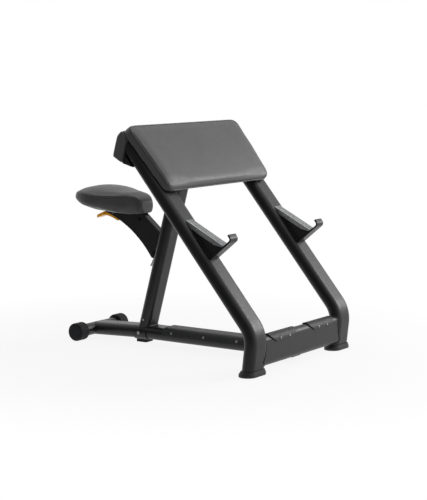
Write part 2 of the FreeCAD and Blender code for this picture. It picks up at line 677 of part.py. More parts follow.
def arm_pad_board():
    """Board behind the arm pad, on the faces of the legs."""
    length = PAD_LENGTH - 2 * BOARD_MARGIN - BOARD_THICKNESS
    low = PAD_START + BOARD_MARGIN + BOARD_THICKNESS
    width = PAD_BOTTOM_WIDTH - 2 * BOARD_MARGIN
    board = box(BOARD_THICKNESS, width, length, (LEG_FACE, -width / 2, low))
    corners = [edge for edge in board.Edges if abs(edge.tangentAt(edge.FirstParameter).x) > 0.9]
    board = placed(board.makeFillet(PAD_CORNER - BOARD_MARGIN / 2, corners), LEG_FRAME)
    return board.cut(arm_pad_bolts())


def arm_pad():
    """Sloping cushion: a crowned section across the bench, narrower at its lower edge."""
    back = LEG_FACE
    face = LEG_FACE + PAD_THICKNESS - PAD_CROWN
    low = PAD_START
    high = PAD_END
    start = Vector(face, 0, low + PAD_CORNER)
    end = Vector(face, 0, high - PAD_EDGE)
    crown = Vector(face + PAD_CROWN, 0, (low + high) / 2)
    turn = math.sqrt(0.5)
    foot_turn = Vector(face - PAD_CORNER * (1 - turn), 0, low + PAD_CORNER * (1 - turn))
    head_turn = Vector(face - PAD_EDGE * (1 - turn), 0, high - PAD_EDGE * (1 - turn))
    foot = Vector(face - PAD_CORNER, 0, low)
    section = Part.Wire([
        Part.Arc(start, crown, end).toShape(),
        Part.Arc(end, head_turn, Vector(face - PAD_EDGE, 0, high)).toShape(),
        Part.makeLine(Vector(face - PAD_EDGE, 0, high), Vector(back, 0, high)),
        Part.makeLine(Vector(back, 0, high), Vector(back, 0, low + PAD_CORNER / 2)),
        Part.makeLine(Vector(back, 0, low + PAD_CORNER / 2), foot),
        Part.Arc(foot, foot_turn, start).toShape(),
    ])
    reach = PAD_TOP_WIDTH
    pad = Part.Face(section).extrude(Vector(0, 2 * reach, 0))
    pad.translate(Vector(0, -reach, 0))
    pad = pad.common(pad_outline()).common(pad_ends())
    return placed(pad, LEG_FRAME).cut([arm_pad_board(), arm_pad_bolts()])


def pad_outline():
    """Tapered outline of the arm pad with rounded corners, as a tall block."""
    low = PAD_START
    high = PAD_END
    points = [(-PAD_BOTTOM_WIDTH / 2, low), (PAD_BOTTOM_WIDTH / 2, low),
              (PAD_TOP_WIDTH / 2, high), (-PAD_TOP_WIDTH / 2, high)]
    wire = rounded_profile(points, [PAD_ROUND] * 4)
    face = Part.Face(wire)
    face.rotate(Vector(0, 0, 0), Vector(0, 0, 1), 90)
    return face.extrude(Vector(4 * PAD_THICKNESS, 0, 0))


def pad_ends():
    """Slanted ends of the arm pad, rounded towards its face."""
    slant = PAD_TAPER / 2 / PAD_LENGTH
    front = LEG_FACE + PAD_THICKNESS
    wires = []
    for place in (-PAD_EDGE, PAD_LENGTH + PAD_EDGE):
        half = PAD_BOTTOM_WIDTH / 2 + place * slant
        corners = [(-front, -half), (front, -half), (front, half), (-front, half)]
        wire = rounded_profile(corners, [PAD_RIM] * 4)
        wire.rotate(Vector(0, 0, 0), Vector(1, 0, 0), 90)
        wire.translate(Vector(0, 0, PAD_START + place))
        wires.append(wire)
    return Part.makeLoft(wires, True, True)


def arm_pad_bolts():
    """Bolts through the legs into the board, their heads behind the legs."""
    bolts = []
    for offset in PAD_BOLTS:
        place = PAD_START + offset
        for side in (-LEG_Y, LEG_Y):
            foot = Vector(-LEG_FACE, side, place)
            shank = round_bar(BOLT_DIAMETER, foot, Vector(LEG_FACE + BOARD_THICKNESS, side, place))
            head = round_bar(BOLT_HEAD, foot - Vector(BOLT_HEAD_HEIGHT, 0, 0), foot)
            bolts.append(shank.fuse(head).removeSplitter())
    return placed(Part.makeCompound(bolts), LEG_FRAME)


def chest_section():
    """Side outline of the chest pad: steep back, sloping top against the arm pad."""
    to_chest = CHEST_FRAME.inverse().multiply(LEG_FRAME)
    seam = LEG_FACE - CHEST_GAP
    high = PAD_END
    top_inner = to_chest.multVec(Vector(seam, 0, high))
    along = (to_chest.multVec(Vector(seam, 0, PAD_START)) - top_inner).normalize()
    meet = top_inner + along * (-top_inner.x / along.x)
    slope = (to_chest.multVec(Vector(seam - CHEST_THICKNESS, 0, high)) - top_inner).normalize()
    top_outer = top_inner + slope * ((-CHEST_THICKNESS - top_inner.x) / slope.x)
    points = [(0, 0), (meet.x, meet.z), (top_inner.x, top_inner.z), (top_outer.x, top_outer.z),
              (-CHEST_THICKNESS, CHEST_BOARD_START)]
    return points


def chest_pad():
    """Steep cushion behind the apex."""
    wire = rounded_profile(chest_section(), [PAD_SEAM, PAD_SEAM, PAD_SEAM, 2 * PAD_EDGE, PAD_EDGE])
    pad = Part.Face(wire).extrude(Vector(0, CHEST_WIDTH, 0))
    pad.translate(Vector(0, -CHEST_WIDTH / 2, 0))
    rims = [edge for edge in pad.Edges
            if abs(abs(edge.CenterOfMass.y) - CHEST_WIDTH / 2) < 0.01
            and edge.CenterOfMass.x < -BOARD_THICKNESS]
    pad = pad.makeFillet(PAD_EDGE / 2, rims)
    return placed(pad, CHEST_FRAME).cut([chest_board(), chest_bolts()])


def chest_board():
    width = PAD_BOTTOM_WIDTH - 2 * BOARD_MARGIN
    board = box(BOARD_THICKNESS, width, CHEST_BOARD_LENGTH,
                (-BOARD_THICKNESS, -width / 2, CHEST_BOARD_START))
    return placed(board, CHEST_FRAME).cut(chest_bolts())


def chest_bracket():
    """Right bracket: a plate on the leg's upper end, with a tab inboard and a gusset below."""
    inboard = -LEG_Y + TUBE_WIDTH / 2 + CHEST_TAB
    outboard = -LEG_Y - CHEST_GUSSET_WIDTH / 2
    plate = box(BRACKET_WALL, inboard - outboard, CHEST_PLATE_HEIGHT, (0, outboard, 0))
    to_chest = CHEST_FRAME.inverse().multiply(LEG_FRAME)
    top = to_chest.multVec(Vector(-LEG_FACE, 0, LEG_LENGTH))
    along = (to_chest.multVec(Vector(-LEG_FACE, 0, 0)) - top).normalize()
    low = top + along * (-top.z / along.z)
    end = top + along * ((BRACKET_WALL - top.x) / along.x)
    points = [(BRACKET_WALL, 0), (low.x, 0), (end.x, end.z)]
    gusset = side_plate(points, outboard, outboard + CHEST_GUSSET_WIDTH)
    hollow = gusset.copy()
    hollow.translate(Vector(-BRACKET_WALL, 0, -BRACKET_WALL))
    inside = box(TUBE_WIDTH, CHEST_GUSSET_WIDTH - 2 * BRACKET_WALL, TUBE_WIDTH,
                 (BRACKET_WALL, outboard + BRACKET_WALL, -BRACKET_WALL))
    gusset = gusset.cut(hollow.common(inside))
    return placed(plate.fuse(gusset).removeSplitter(), CHEST_FRAME).cut(chest_bolts())


def chest_bolts():
    """Two bolts through each bracket's tab into the chest board."""
    bolts = []
    for side in (-1, 1):
        y = side * (LEG_Y - TUBE_WIDTH / 2 - CHEST_TAB / 2)
        for sign in (-1, 1):
            z = CHEST_BOARD_START + CHEST_BOARD_LENGTH / 2 + sign * CHEST_BOLT_PITCH / 2
            seat = Vector(BRACKET_WALL, y, z)
            shank = round_bar(BOLT_DIAMETER, seat, Vector(-BOARD_THICKNESS, y, z))
            head = round_bar(BOLT_HEAD, seat, seat + Vector(BOLT_HEAD_HEIGHT, 0, 0))
            bolts.append(shank.fuse(head).removeSplitter())
    return placed(Part.makeCompound(bolts), CHEST_FRAME)


# Carriage and gas spring, drawn in the post's frame: X forward, Z along the post.

def gas_eye_place():
    return GAS_START + GAS_WALL - GAS_EYE / 2


def gas_spring_pin_local():
    half = POST_WIDTH / 2
    return round_bar(PIN_DIAMETER, Vector(0, -half, gas_eye_place()), Vector(0, half, gas_eye_place()))


def gas_spring_pin():
    return placed(gas_spring_pin_local(), POST_FRAME)


def gas_spring_cylinder():
    """Cylinder with an eye at its foot, open at the top for the rod."""
    body = Part.makeCylinder(GAS_DIAMETER / 2, GAS_LENGTH, Vector(0, 0, GAS_START))
    eye = Part.makeCylinder(GAS_EYE / 2, GAS_EYE_WIDTH, Vector(0, -GAS_EYE_WIDTH / 2, gas_eye_place()),
                            Vector(0, 1, 0))
    bore = Part.makeCylinder(GAS_DIAMETER / 2 - GAS_WALL, GAS_LENGTH - GAS_GUIDE - 2 * GAS_WALL,
                             Vector(0, 0, GAS_START + 2 * GAS_WALL))
    guide = Part.makeCylinder(ROD_DIAMETER / 2 + ROD_PLAY, GAS_LENGTH,
                              Vector(0, 0, GAS_START + GAS_LENGTH / 2))
    cylinder = body.fuse(eye).removeSplitter().cut([bore, guide, gas_spring_pin_local()])
    return placed(cylinder, POST_FRAME)


def lower_glide_start():
    return NECK_START - GLIDE_PAST


def gas_spring_rod():
    """Rod with its piston, held in the lower glide."""
    top = lower_glide_start() + ROD_GRIP
    foot = GAS_START + GAS_LENGTH - GAS_GUIDE - PISTON_SPARE - PISTON_HEIGHT
    rod = Part.makeCylinder(ROD_DIAMETER / 2, top - foot, Vector(0, 0, foot))
    piston = Part.makeCylinder(GAS_DIAMETER / 2 - GAS_WALL - PISTON_PLAY, PISTON_HEIGHT,
                               Vector(0, 0, foot))
    return placed(rod.fuse(piston).removeSplitter(), POST_FRAME)


def glide(start):
    """Plastic shoe that fills the post's hollow, with a recess for the cheeks."""
    inner = 2 * (TUBE_WALL + GLIDE_CLEARANCE)
    shoe = oval_bar(POST_WIDTH - inner, POST_DEPTH - inner, start, start + GLIDE_HEIGHT)
    recess = box(GLIDE_DEPTH, BRACKET_WIDTH, GLIDE_HEIGHT,
                 (-POST_DEPTH / 2, -BRACKET_WIDTH / 2, start))
    return shoe.cut([recess, glide_pin(start)])


def glide_pin(start):
    half = POST_WIDTH / 2 - POST_DEPTH / 4
    x = -POST_DEPTH / 2 + GLIDE_PIN_DEPTH
    z = start + GLIDE_PIN_RISE
    return round_bar(PIN_DIAMETER, Vector(x, -half, z), Vector(x, half, z))


def lower_glide():
    shoe = glide(lower_glide_start())
    hole = Part.makeCylinder(ROD_DIAMETER / 2, ROD_GRIP, Vector(0, 0, lower_glide_start()))
    return placed(shoe.cut(hole), POST_FRAME)


def upper_glide_start():
    return NECK_END + GLIDE_PAST - GLIDE_HEIGHT


def upper_glide():
    return placed(glide(upper_glide_start()), POST_FRAME)


def glide_pins():
    pins = Part.makeCompound([glide_pin(lower_glide_start()), glide_pin(upper_glide_start())])
    return placed(pins, POST_FRAME)


# Seat bracket.

def behind_post(back, along):
    """Point in the middle plane, behind the post's rear face at one place along the post."""
    return POST_FRAME.multVec(Vector(-POST_DEPTH / 2 - back, 0, along))


def tail_point():
    return Vector(BRACKET_TAIL, 0, BRACKET_TOP - TAIL_DEPTH)


def tip_point():
    return behind_post(TIP_BACK, NECK_START - TIP_DROP)


def front_edge():
    """Upper and lower end of the cheeks' straight front edge."""
    top = Vector(BRACKET_FRONT, 0, BRACKET_TOP - FRONT_DROP)
    return top, behind_post(FRONT_FOOT_BACK, NECK_END + FRONT_FOOT_RISE)


def bracket_arc():
    chord = tip_point() - tail_point()
    upward = Vector(0, 1, 0).cross(chord).normalize() * -ARC_RISE
    return Part.Arc(tail_point(), tail_point() + chord * 0.5 + upward, tip_point())


def cheek_outline():
    """Side outline of a cheek: curved underneath, straight in front, with a tongue in the post."""
    front_top, front_foot_point = front_edge()
    corners = [
        tip_point(),
        behind_post(0, NECK_START),
        behind_post(-TUBE_WALL, NECK_START),
        behind_post(-TUBE_WALL, lower_glide_start()),
        behind_post(-GLIDE_DEPTH, lower_glide_start()),
        behind_post(-GLIDE_DEPTH, NECK_END),
        behind_post(0, NECK_END),
        front_foot_point,
        front_top,
        Vector(BRACKET_FRONT, 0, BRACKET_TOP),
        Vector(BRACKET_TAIL, 0, BRACKET_TOP),
        tail_point(),
    ]
    edges = [bracket_arc().toShape()]
    for first, last in zip(corners, corners[1:]):
        edges.append(Part.makeLine(first, last))
    return Part.Wire(edges)


def bolt_places():
    """Where the two bolts cross the bracket, as (x, z)."""
    top = front_edge()[0]
    low = behind_post(LOWER_BOLT_BACK, NECK_START + LOWER_BOLT_RISE)
    return (top.x - UPPER_BOLT_BACK, top.z - UPPER_BOLT_DROP), (low.x, low.z)


def right_cheek():
    cheek = Part.Face(cheek_outline()).extrude(Vector(0, CHEEK_WALL, 0))
    cheek.translate(Vector(0, -BRACKET_WIDTH / 2, 0))
    return cheek.cut(bracket_bolts().Solids + glide_pins().Solids + [lever_pin()])


def bracket_bolts():
    return Part.makeCompound([cross_bolt(place, BRACKET_WIDTH / 2) for place in bolt_places()])


def bracket_spacers():
    """Tubes round the cross bolts that hold the cheeks apart."""
    spacers = []
    for x, z in bolt_places():
        ends = [Vector(x, sign * CHEEK_GAP / 2, z) for sign in (-1, 1)]
        spacers.append(round_bar(BOLT_HEAD, *ends).cut(round_bar(BOLT_DIAMETER, *ends)))
    return Part.makeCompound(spacers)


def front_web():
    """Plate between the cheeks along their straight front edge."""
    top, foot = front_edge()
    inward = (foot - top).cross(Vector(0, 1, 0)).normalize() * -WEB_WALL
    points = [top, foot, foot + inward, top + inward]
    return side_plate([(point.x, point.z) for point in points], -CHEEK_GAP / 2, CHEEK_GAP / 2)


def arc_web():
    """Curved plate between the cheeks along their lower edge, from the lever to the lower bolt."""
    curve = bracket_arc().toShape().Curve
    start = curve.Center - Vector(0, CHEEK_GAP / 2, 0)
    ring = Part.makeCylinder(curve.Radius + WEB_WALL, CHEEK_GAP, start, Vector(0, 1, 0))
    ring = ring.cut(Part.makeCylinder(curve.Radius, CHEEK_GAP, start, Vector(0, 1, 0)))
    cheek = Part.Face(cheek_outline()).extrude(Vector(0, CHEEK_GAP, 0))
    cheek.translate(Vector(0, -CHEEK_GAP / 2, 0))
    reach = 2 * LEG_LENGTH
    ahead = box(reach, reach, reach, (LEVER_PIN_X + WEB_AHEAD, -reach / 2, 0))
    over_clip = box(2 * reach, reach, reach, (-reach, -reach / 2, NECK_START + LOWER_BOLT_RISE))
    return largest(ring.common(cheek).common(ahead).common(placed(over_clip, POST_FRAME)))


def spring_clip():
    """Spring clip hooked on the lower spacer, its free end below the cheeks' tip."""
    inner = BOLT_HEAD / 2
    half = CLIP_WIDTH / 2
    ends = [Vector(0, sign * half, 0) for sign in (-1, 1)]
    loop = round_bar(BOLT_HEAD + 2 * CLIP_WALL, *ends).cut(round_bar(BOLT_HEAD, *ends))
    tongue = box(CLIP_WALL, CLIP_WIDTH, CLIP_LENGTH, (inner, -half, -CLIP_LENGTH))
    x, z = bolt_places()[1]
    lean = Rotation(Vector(0, 1, 0), POST_LEAN + CLIP_LEAN)
    return placed(loop.fuse(tongue).removeSplitter(), Placement(Vector(x, 0, z), lean))


def seat_plate():
    plate = box(SEAT_PLATE_LENGTH, SEAT_PLATE_WIDTH, SEAT_PLATE,
                (SEAT_X - SEAT_PLATE_LENGTH / 2, -SEAT_PLATE_WIDTH / 2, BRACKET_TOP))
    corners = [edge for edge in plate.Edges if abs(edge.tangentAt(edge.FirstParameter).z) > 0.9]
    return plate.makeFillet(BOLT_HEAD, corners).cut(seat_bolts())


def seat_bolts():
    """Four bolts up through the seat plate into the board."""
    bolts = []
    for sign_x in (-1, 1):
        for sign_y in (-1, 1):
            x = SEAT_X + sign_x * (SEAT_PLATE_LENGTH / 2 - BOLT_HEAD)
            y = sign_y * (SEAT_PLATE_WIDTH / 2 - BOLT_HEAD)
            seat = Vector(x, y, BRACKET_TOP)
            shank = round_bar(BOLT_DIAMETER, seat, seat + Vector(0, 0, SEAT_PLATE + SEAT_BOARD))
            head = round_bar(BOLT_HEAD, seat - Vector(0, 0, BOLT_HEAD_HEIGHT), seat)
            bolts.append(shank.fuse(head).removeSplitter())
    return Part.makeCompound(bolts)


def seat_board():
    board = box(SEAT_BOARD_LENGTH, SEAT_BOARD_WIDTH, SEAT_BOARD,
                (SEAT_X - SEAT_BOARD_LENGTH / 2, -SEAT_BOARD_WIDTH / 2, BRACKET_TOP + SEAT_PLATE))
    corners = [edge for edge in board.Edges if abs(edge.tangentAt(edge.FirstParameter).z) > 0.9]
    return board.makeFillet(PAD_CORNER, corners).cut(seat_bolts())


def seat_section(ahead, half, underside, rim, crown):
    """One outline of the seat across the bench: rounded below, bulging sides, rolled edges, crowned top."""
    x = SEAT_X + ahead
    plate = BRACKET_TOP + SEAT_PLATE
    foot = half - SEAT_DRAW_IN
    low = plate + underside + foot * foot / (2 * SEAT_BELLY_RADIUS)
    seam = plate + rim
    roll = (crown - rim) * SEAT_ROLL
    turn = roll * math.sqrt(0.5)
    left = [
        Vector(x, foot, low),
        Vector(x, half + SEAT_BULGE, (low + seam) / 2),
        Vector(x, half, seam),
        Vector(x, half - roll + turn, seam + turn),
        Vector(x, half - roll, seam + roll),
    ]
    right = [Vector(x, -point.y, point.z) for point in reversed(left)]
    belly = Vector(x, 0, plate + underside)
    top = Vector(x, 0, plate + crown)
    arcs = [(right[4], belly, left[0]), left[0:3], left[2:5],
            (left[4], top, right[0]), right[0:3], right[2:5]]
    return Part.Wire([Part.Arc(*arc).toShape() for arc in arcs])


def seat_pad():
    """Contoured seat cushion: broad behind, narrowing to a nose towards the post."""
    pad = Part.makeLoft([seat_section(*station) for station in SEAT_STATIONS], True, False, False, 3)
    return pad.cut([seat_board(), seat_plate(), seat_bolts(), below_seat()])


def below_seat():
    """Room between the cushion's skirts for the plate, its bolts and, ahead of it, the bracket."""
    start = SEAT_X - SEAT_PLATE_LENGTH / 2
    width = BRACKET_WIDTH + 2 * SEAT_GAP
    height = SEAT_PLATE + SEAT_SKIRT
    low = BRACKET_TOP - SEAT_SKIRT
    under_plate = box(SEAT_PLATE_LENGTH, SEAT_PLATE_WIDTH, height, (start, -SEAT_PLATE_WIDTH / 2, low))
    bracket = box(BRACKET_FRONT + SEAT_GAP - start, width, height, (start, -width / 2, low))
    return under_plate.fuse(bracket)


# Release lever.

def lever_pin():
    half = BRACKET_WIDTH / 2
    return round_bar(LEVER_PIN_DIAMETER, Vector(LEVER_PIN_X, -half, LEVER_PIN_Z),
                     Vector(LEVER_PIN_X, half, LEVER_PIN_Z))


def from_lever_pin(ahead, above):
    """Point of the lever's side outline, as (x, z)."""
    return LEVER_PIN_X + ahead, LEVER_PIN_Z + above


def release_lever():
    """Lever between the cheeks, with a broad tongue behind them."""
    width = CHEEK_GAP - 2 * LEVER_SIDE_PLAY
    half = LEVER_TONGUE_WIDTH / 2
    root_top = from_lever_pin(-LEVER_TONGUE_START, LEVER_TONGUE_DEPTH / 2)
    root_foot = from_lever_pin(-LEVER_TONGUE_START, -LEVER_TONGUE_DEPTH / 2)
    body = side_plate([
        from_lever_pin(LEVER_HEEL_AHEAD, -LEVER_HEEL_DROP),
        from_lever_pin(LEVER_BOSS, LEVER_BOSS / 2),
        from_lever_pin(-LEVER_BOSS, LEVER_BOSS),
        root_top,
        root_foot,
        from_lever_pin(-LEVER_BOSS, -LEVER_BOSS - LEVER_TONGUE_DEPTH / 2),
        from_lever_pin(LEVER_HEEL_AHEAD - LEVER_HEEL_DEPTH, -LEVER_HEEL_DROP - LEVER_HEEL_DEPTH),
    ], -width / 2, width / 2)
    tongue = side_plate([
        root_top,
        root_foot,
        from_lever_pin(-LEVER_TIP_BACK, -LEVER_TIP_DROP - LEVER_THICKNESS / 2),
        from_lever_pin(-LEVER_TIP_BACK, -LEVER_TIP_DROP + LEVER_THICKNESS / 2),
    ], -half, half)
    corners = edges_beside(tongue, LEVER_PIN_X - LEVER_TIP_BACK, half)
    tongue = tongue.makeFillet(LEVER_TIP_RADIUS, corners)
    hole = round_bar(LEVER_PIN_DIAMETER + 2 * LEVER_PIN_PLAY, Vector(LEVER_PIN_X, -half, LEVER_PIN_Z),
                     Vector(LEVER_PIN_X, half, LEVER_PIN_Z))
    return body.fuse(tongue).removeSplitter().cut(hole)


def both_sides(shape):
    """A group of small pieces repeated on the left."""
    return Part.makeCompound(shape.Solids + mirrored(shape).Solids)


def screws_at(seats):
    return Part.makeCompound([screw(seat, direction) for seat, direction in seats])


def build():
    """Every piece under the name of its node."""
    pieces = {
        "right_leg": leg(),
        "right_front_foot": front_foot(),
        "right_rear_cap": rear_cap(),
        "right_wear_cover": wear_cover(),
        "right_rest_bracket": rest_bracket(),
        "right_hook_plate": hook_plate(),
        "right_wear_strip": wear_strip(),
        "right_chest_bracket": chest_bracket(),
        "right_seat_cheek": right_cheek(),
    }
    for name in list(pieces):
        pieces[name.replace("right", "left")] = mirrored(pieces[name])
    pieces.update({
        "front_cross_tube": front_cross_tube(),
        "top_cross_tube": top_cross_tube(),
        "base_spine": base_spine(),
        "rear_crossbar": rear_crossbar(),
        "seat_post": seat_post(),
        "wear_cover_screws": both_sides(screws_at(cover_screw_seats())),
        "spine_cover": spine_cover(),
        "spine_cover_screws": screws_at(tread_screw_seats()),
        "foot_strap": foot_strap(),
        "foot_strap_bolt": cross_bolt((STRAP_X, SPINE_Z), TUBE_WIDTH / 2 + STRAP_WALL),
        "foot_block": foot_block(),
        "wear_strip_screws": both_sides(wear_strip_screws()),
        "arm_pad_board": arm_pad_board(),
        "arm_pad": arm_pad(),
        "arm_pad_bolts": arm_pad_bolts(),
        "chest_board": chest_board(),
        "chest_pad": chest_pad(),
        "chest_bolts": chest_bolts(),
        "gas_spring_pin": gas_spring_pin(),
        "gas_spring_cylinder": gas_spring_cylinder(),
        "gas_spring_rod": gas_spring_rod(),
        "lower_glide": lower_glide(),
        "upper_glide": upper_glide(),
        "glide_pins": glide_pins(),
        "bracket_bolts": bracket_bolts(),
        "bracket_spacers": bracket_spacers(),
        "front_web": front_web(),
        "arc_web": arc_web(),
        "spring_clip": spring_clip(),
        "seat_plate": seat_plate(),
        "seat_bolts": seat_bolts(),
        "seat_board": seat_board(),
        "seat_pad": seat_pad(),
        "lever_pin": lever_pin(),
        "release_lever": release_lever(),
    })
    return pieces


os.makedirs("parts", exist_ok=True)
for name, shape in build().items():
    shape = shape.copy()
    shape.translate(Vector(FOOT_X, 0, 0))
    shape.exportStep("parts/" + name + ".step")
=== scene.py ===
import json
import math

import bpy
from mathutils import Matrix, Vector
from mathutils.bvhtree import BVHTree
from mathutils.kdtree import KDTree


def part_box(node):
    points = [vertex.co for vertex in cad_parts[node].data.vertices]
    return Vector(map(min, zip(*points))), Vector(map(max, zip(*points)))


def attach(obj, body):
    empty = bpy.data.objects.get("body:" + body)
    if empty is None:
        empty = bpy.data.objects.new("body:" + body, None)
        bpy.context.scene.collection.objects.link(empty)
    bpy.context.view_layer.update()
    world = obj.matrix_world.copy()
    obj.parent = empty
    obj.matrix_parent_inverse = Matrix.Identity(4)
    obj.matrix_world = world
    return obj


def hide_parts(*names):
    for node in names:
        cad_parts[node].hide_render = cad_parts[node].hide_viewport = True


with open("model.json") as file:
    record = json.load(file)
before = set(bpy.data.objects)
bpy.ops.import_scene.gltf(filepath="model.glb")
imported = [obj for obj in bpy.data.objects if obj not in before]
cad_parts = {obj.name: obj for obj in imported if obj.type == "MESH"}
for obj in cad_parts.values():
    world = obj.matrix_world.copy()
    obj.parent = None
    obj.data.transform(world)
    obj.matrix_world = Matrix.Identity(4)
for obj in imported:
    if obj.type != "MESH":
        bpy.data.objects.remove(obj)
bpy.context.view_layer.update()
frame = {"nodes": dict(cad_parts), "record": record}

scene = bpy.context.scene
bpy.ops.object.select_all(action="DESELECT")


# Studio: a pale floor in front of a white background, one large softbox high on the far
# right and a broad light overhead. The side behind the camera is dim. The camera stands
# where the photograph was taken from.
scene.view_settings.view_transform = "Standard"


def join(tree, kind, inputs, **settings):
    """One shader node with the values or the sources of its inputs."""
    made = tree.nodes.new(kind)
    for key, value in settings.items():
        setattr(made, key, value)
    for key, value in inputs.items():
        if isinstance(value, bpy.types.NodeSocket):
            tree.links.new(value, made.inputs[key])
        else:
            made.inputs[key].default_value = value
    return made.outputs[0]


def seen_directly(tree):
    """1 for what the camera sees, directly, mirrored or through something clear."""
    ray = tree.nodes.new("ShaderNodeLightPath")
    seen = join(tree, "ShaderNodeMath",
                {0: ray.outputs["Is Camera Ray"], 1: ray.outputs["Is Glossy Ray"]}, operation="MAXIMUM")
    return join(tree, "ShaderNodeMath",
                {0: seen, 1: ray.outputs["Is Transmission Ray"]}, operation="MAXIMUM")


def sideways(tree, place):
    """How far a place or a direction lies across the bench, to the user's left."""
    parts = tree.nodes.new("ShaderNodeSeparateXYZ")
    tree.links.new(place, parts.inputs[0])
    return parts.outputs["Y"]


studio = bpy.data.worlds.new("studio")
studio.use_nodes = True
scene.world = studio
tree = studio.node_tree
direction = tree.nodes.new("ShaderNodeTexCoord").outputs["Generated"]
lit_side = join(tree, "ShaderNodeMapRange",
                {"Value": sideways(tree, direction), "From Min": -0.75, "From Max": 0.15,
                 "To Min": 0.1, "To Max": 1.0},
                interpolation_type="SMOOTHSTEP")
camera_ray = tree.nodes.new("ShaderNodeLightPath").outputs["Is Camera Ray"]
open_side = join(tree, "ShaderNodeMath", {0: lit_side, 1: camera_ray}, operation="MAXIMUM")
fill = join(tree, "ShaderNodeMapRange", {"Value": lit_side, "To Min": 0.24, "To Max": 0.36})
strength = join(tree, "ShaderNodeMix", {"Factor": seen_directly(tree), "A": fill, "B": open_side})
background = tree.nodes["Background"]
background.inputs["Color"].default_value = (1, 1, 1, 1)
tree.links.new(strength, background.inputs["Strength"])

bpy.ops.mesh.primitive_plane_add(size=16)
floor = bpy.context.object
floor.name = "studio_floor"
paper = bpy.data.materials.new("floor_paper")
paper.use_nodes = True
tree = paper.node_tree
shader = tree.nodes["Principled BSDF"]
shader.inputs["Roughness"].default_value = 0.9
shader.inputs["Specular IOR Level"].default_value = 0.1
shade = join(tree, "ShaderNodeMix", {"Factor": seen_directly(tree), "A": 0.62, "B": 0.93})
tree.links.new(shade, shader.inputs["Base Color"])
floor_place = tree.nodes.new("ShaderNodeTexCoord").outputs["Object"]
# The floor glows softly, so that it runs into the background. Only the pieces that mirror it
# see it dim on the camera's side.
full_glow = 1.08
lit_floor = join(tree, "ShaderNodeMapRange",
                 {"Value": sideways(tree, floor_place), "From Min": -1.3, "From Max": 0.1,
                  "To Min": 0.12, "To Max": full_glow},
                 interpolation_type="SMOOTHSTEP")
ray = tree.nodes.new("ShaderNodeLightPath")
mirrored = join(tree, "ShaderNodeMix", {"Factor": ray.outputs["Is Glossy Ray"], "A": 1.0, "B": lit_floor})
open_floor = join(tree, "ShaderNodeMix",
                  {"Factor": ray.outputs["Is Camera Ray"], "A": mirrored, "B": full_glow})
glow = join(tree, "ShaderNodeEmission", {"Color": shade, "Strength": open_floor})
away = tree.nodes.new("ShaderNodeVectorMath")
away.operation = "LENGTH"
tree.links.new(floor_place, away.inputs[0])
fade = join(tree, "ShaderNodeMapRange",
            {"Value": away.outputs["Value"], "From Min": 0.6, "From Max": 1.7, "To Min": 0.88},
            interpolation_type="SMOOTHSTEP")
sweep = join(tree, "ShaderNodeMixShader", {0: fade, 1: shader.outputs[0], 2: glow})
tree.links.new(sweep, tree.nodes["Material Output"].inputs["Surface"])
floor.data.materials.append(paper)


def softbox(name, size, place, aim, watts):
    """A square lamp turned towards the bench."""
    light = bpy.data.lights.new(name, "AREA")
    light.shape = "SQUARE"
    light.size = size
    light.energy = watts
    lamp = bpy.data.objects.new(name, light)
    scene.collection.objects.link(lamp)
    lamp.location = place
    lamp.rotation_euler = (Vector(aim) - Vector(place)).to_track_quat("-Z", "Y").to_euler()


softbox("right_softbox", size=1.7, place=(2.2, 2.6, 1.75), aim=(0.1, 0.0, 0.45), watts=62)
softbox("overhead_light", size=2.4, place=(0.3, 0.2, 3.3), aim=(0.1, 0.0, 0.3), watts=14)

azimuth = math.radians(34.1255)
pitch = math.radians(7.3358)
towards_camera = Vector((math.sin(azimuth) * math.cos(pitch),
                         -math.cos(azimuth) * math.cos(pitch),
                         math.sin(pitch)))
lens = bpy.data.cameras.new("camera")
lens.lens = 108
lens.sensor_width = 36
camera = bpy.data.objects.new("camera", lens)
scene.collection.objects.link(camera)
camera.location = (3.374745, -4.82319, 1.14976)
camera.rotation_euler = (-towards_camera).to_track_quat("-Z", "Y").to_euler()
scene.camera = camera


# Frame: bent flat-oval steel tubes, welded together and powder coated in satin charcoal.
# The coat has a fine orange peel, and its sheen varies a little over a tube. The rests,
# brackets and cheeks are cut and folded plates with their edges broken.
def finish(name, roughness, specular=0.5, metallic=0.0):
    """An empty finish whose values that are the same all over sit on the shader itself."""
    material = bpy.data.materials.new(name)
    material.use_nodes = True
    shader = material.node_tree.nodes["Principled BSDF"]
    shader.inputs["Roughness"].default_value = roughness
    shader.inputs["Specular IOR Level"].default_value = specular
    shader.inputs["Metallic"].default_value = metallic
    return material


def drive(material, **inputs):
    """Lead finished patterns into the shader."""
    shader = material.node_tree.nodes["Principled BSDF"]
    for key, source in inputs.items():
        material.node_tree.links.new(source, shader.inputs[key.replace("_", " ")])


def surface_place(material):
    """The place on a piece that a pattern is laid by."""
    return material.node_tree.nodes.new("ShaderNodeTexCoord").outputs["Object"]


def cloud(material, scale, detail=2.0, stretch=None):
    """Soft noise with so many blotches to the metre."""
    place = surface_place(material)
    if stretch:
        place = join(material.node_tree, "ShaderNodeMapping", {"Vector": place, "Scale": stretch})
    return join(material.node_tree, "ShaderNodeTexNoise",
                {"Vector": place, "Scale": scale, "Detail": detail})


# Noise keeps near its middle, so patterns are spread over this part of it.
noise_low = 0.3
noise_high = 0.7


def between(material, pattern, low, high):
    """A pattern spread between two values."""
    return join(material.node_tree, "ShaderNodeMapRange",
                {"Value": pattern, "From Min": noise_low, "From Max": noise_high,
                 "To Min": low, "To Max": high})


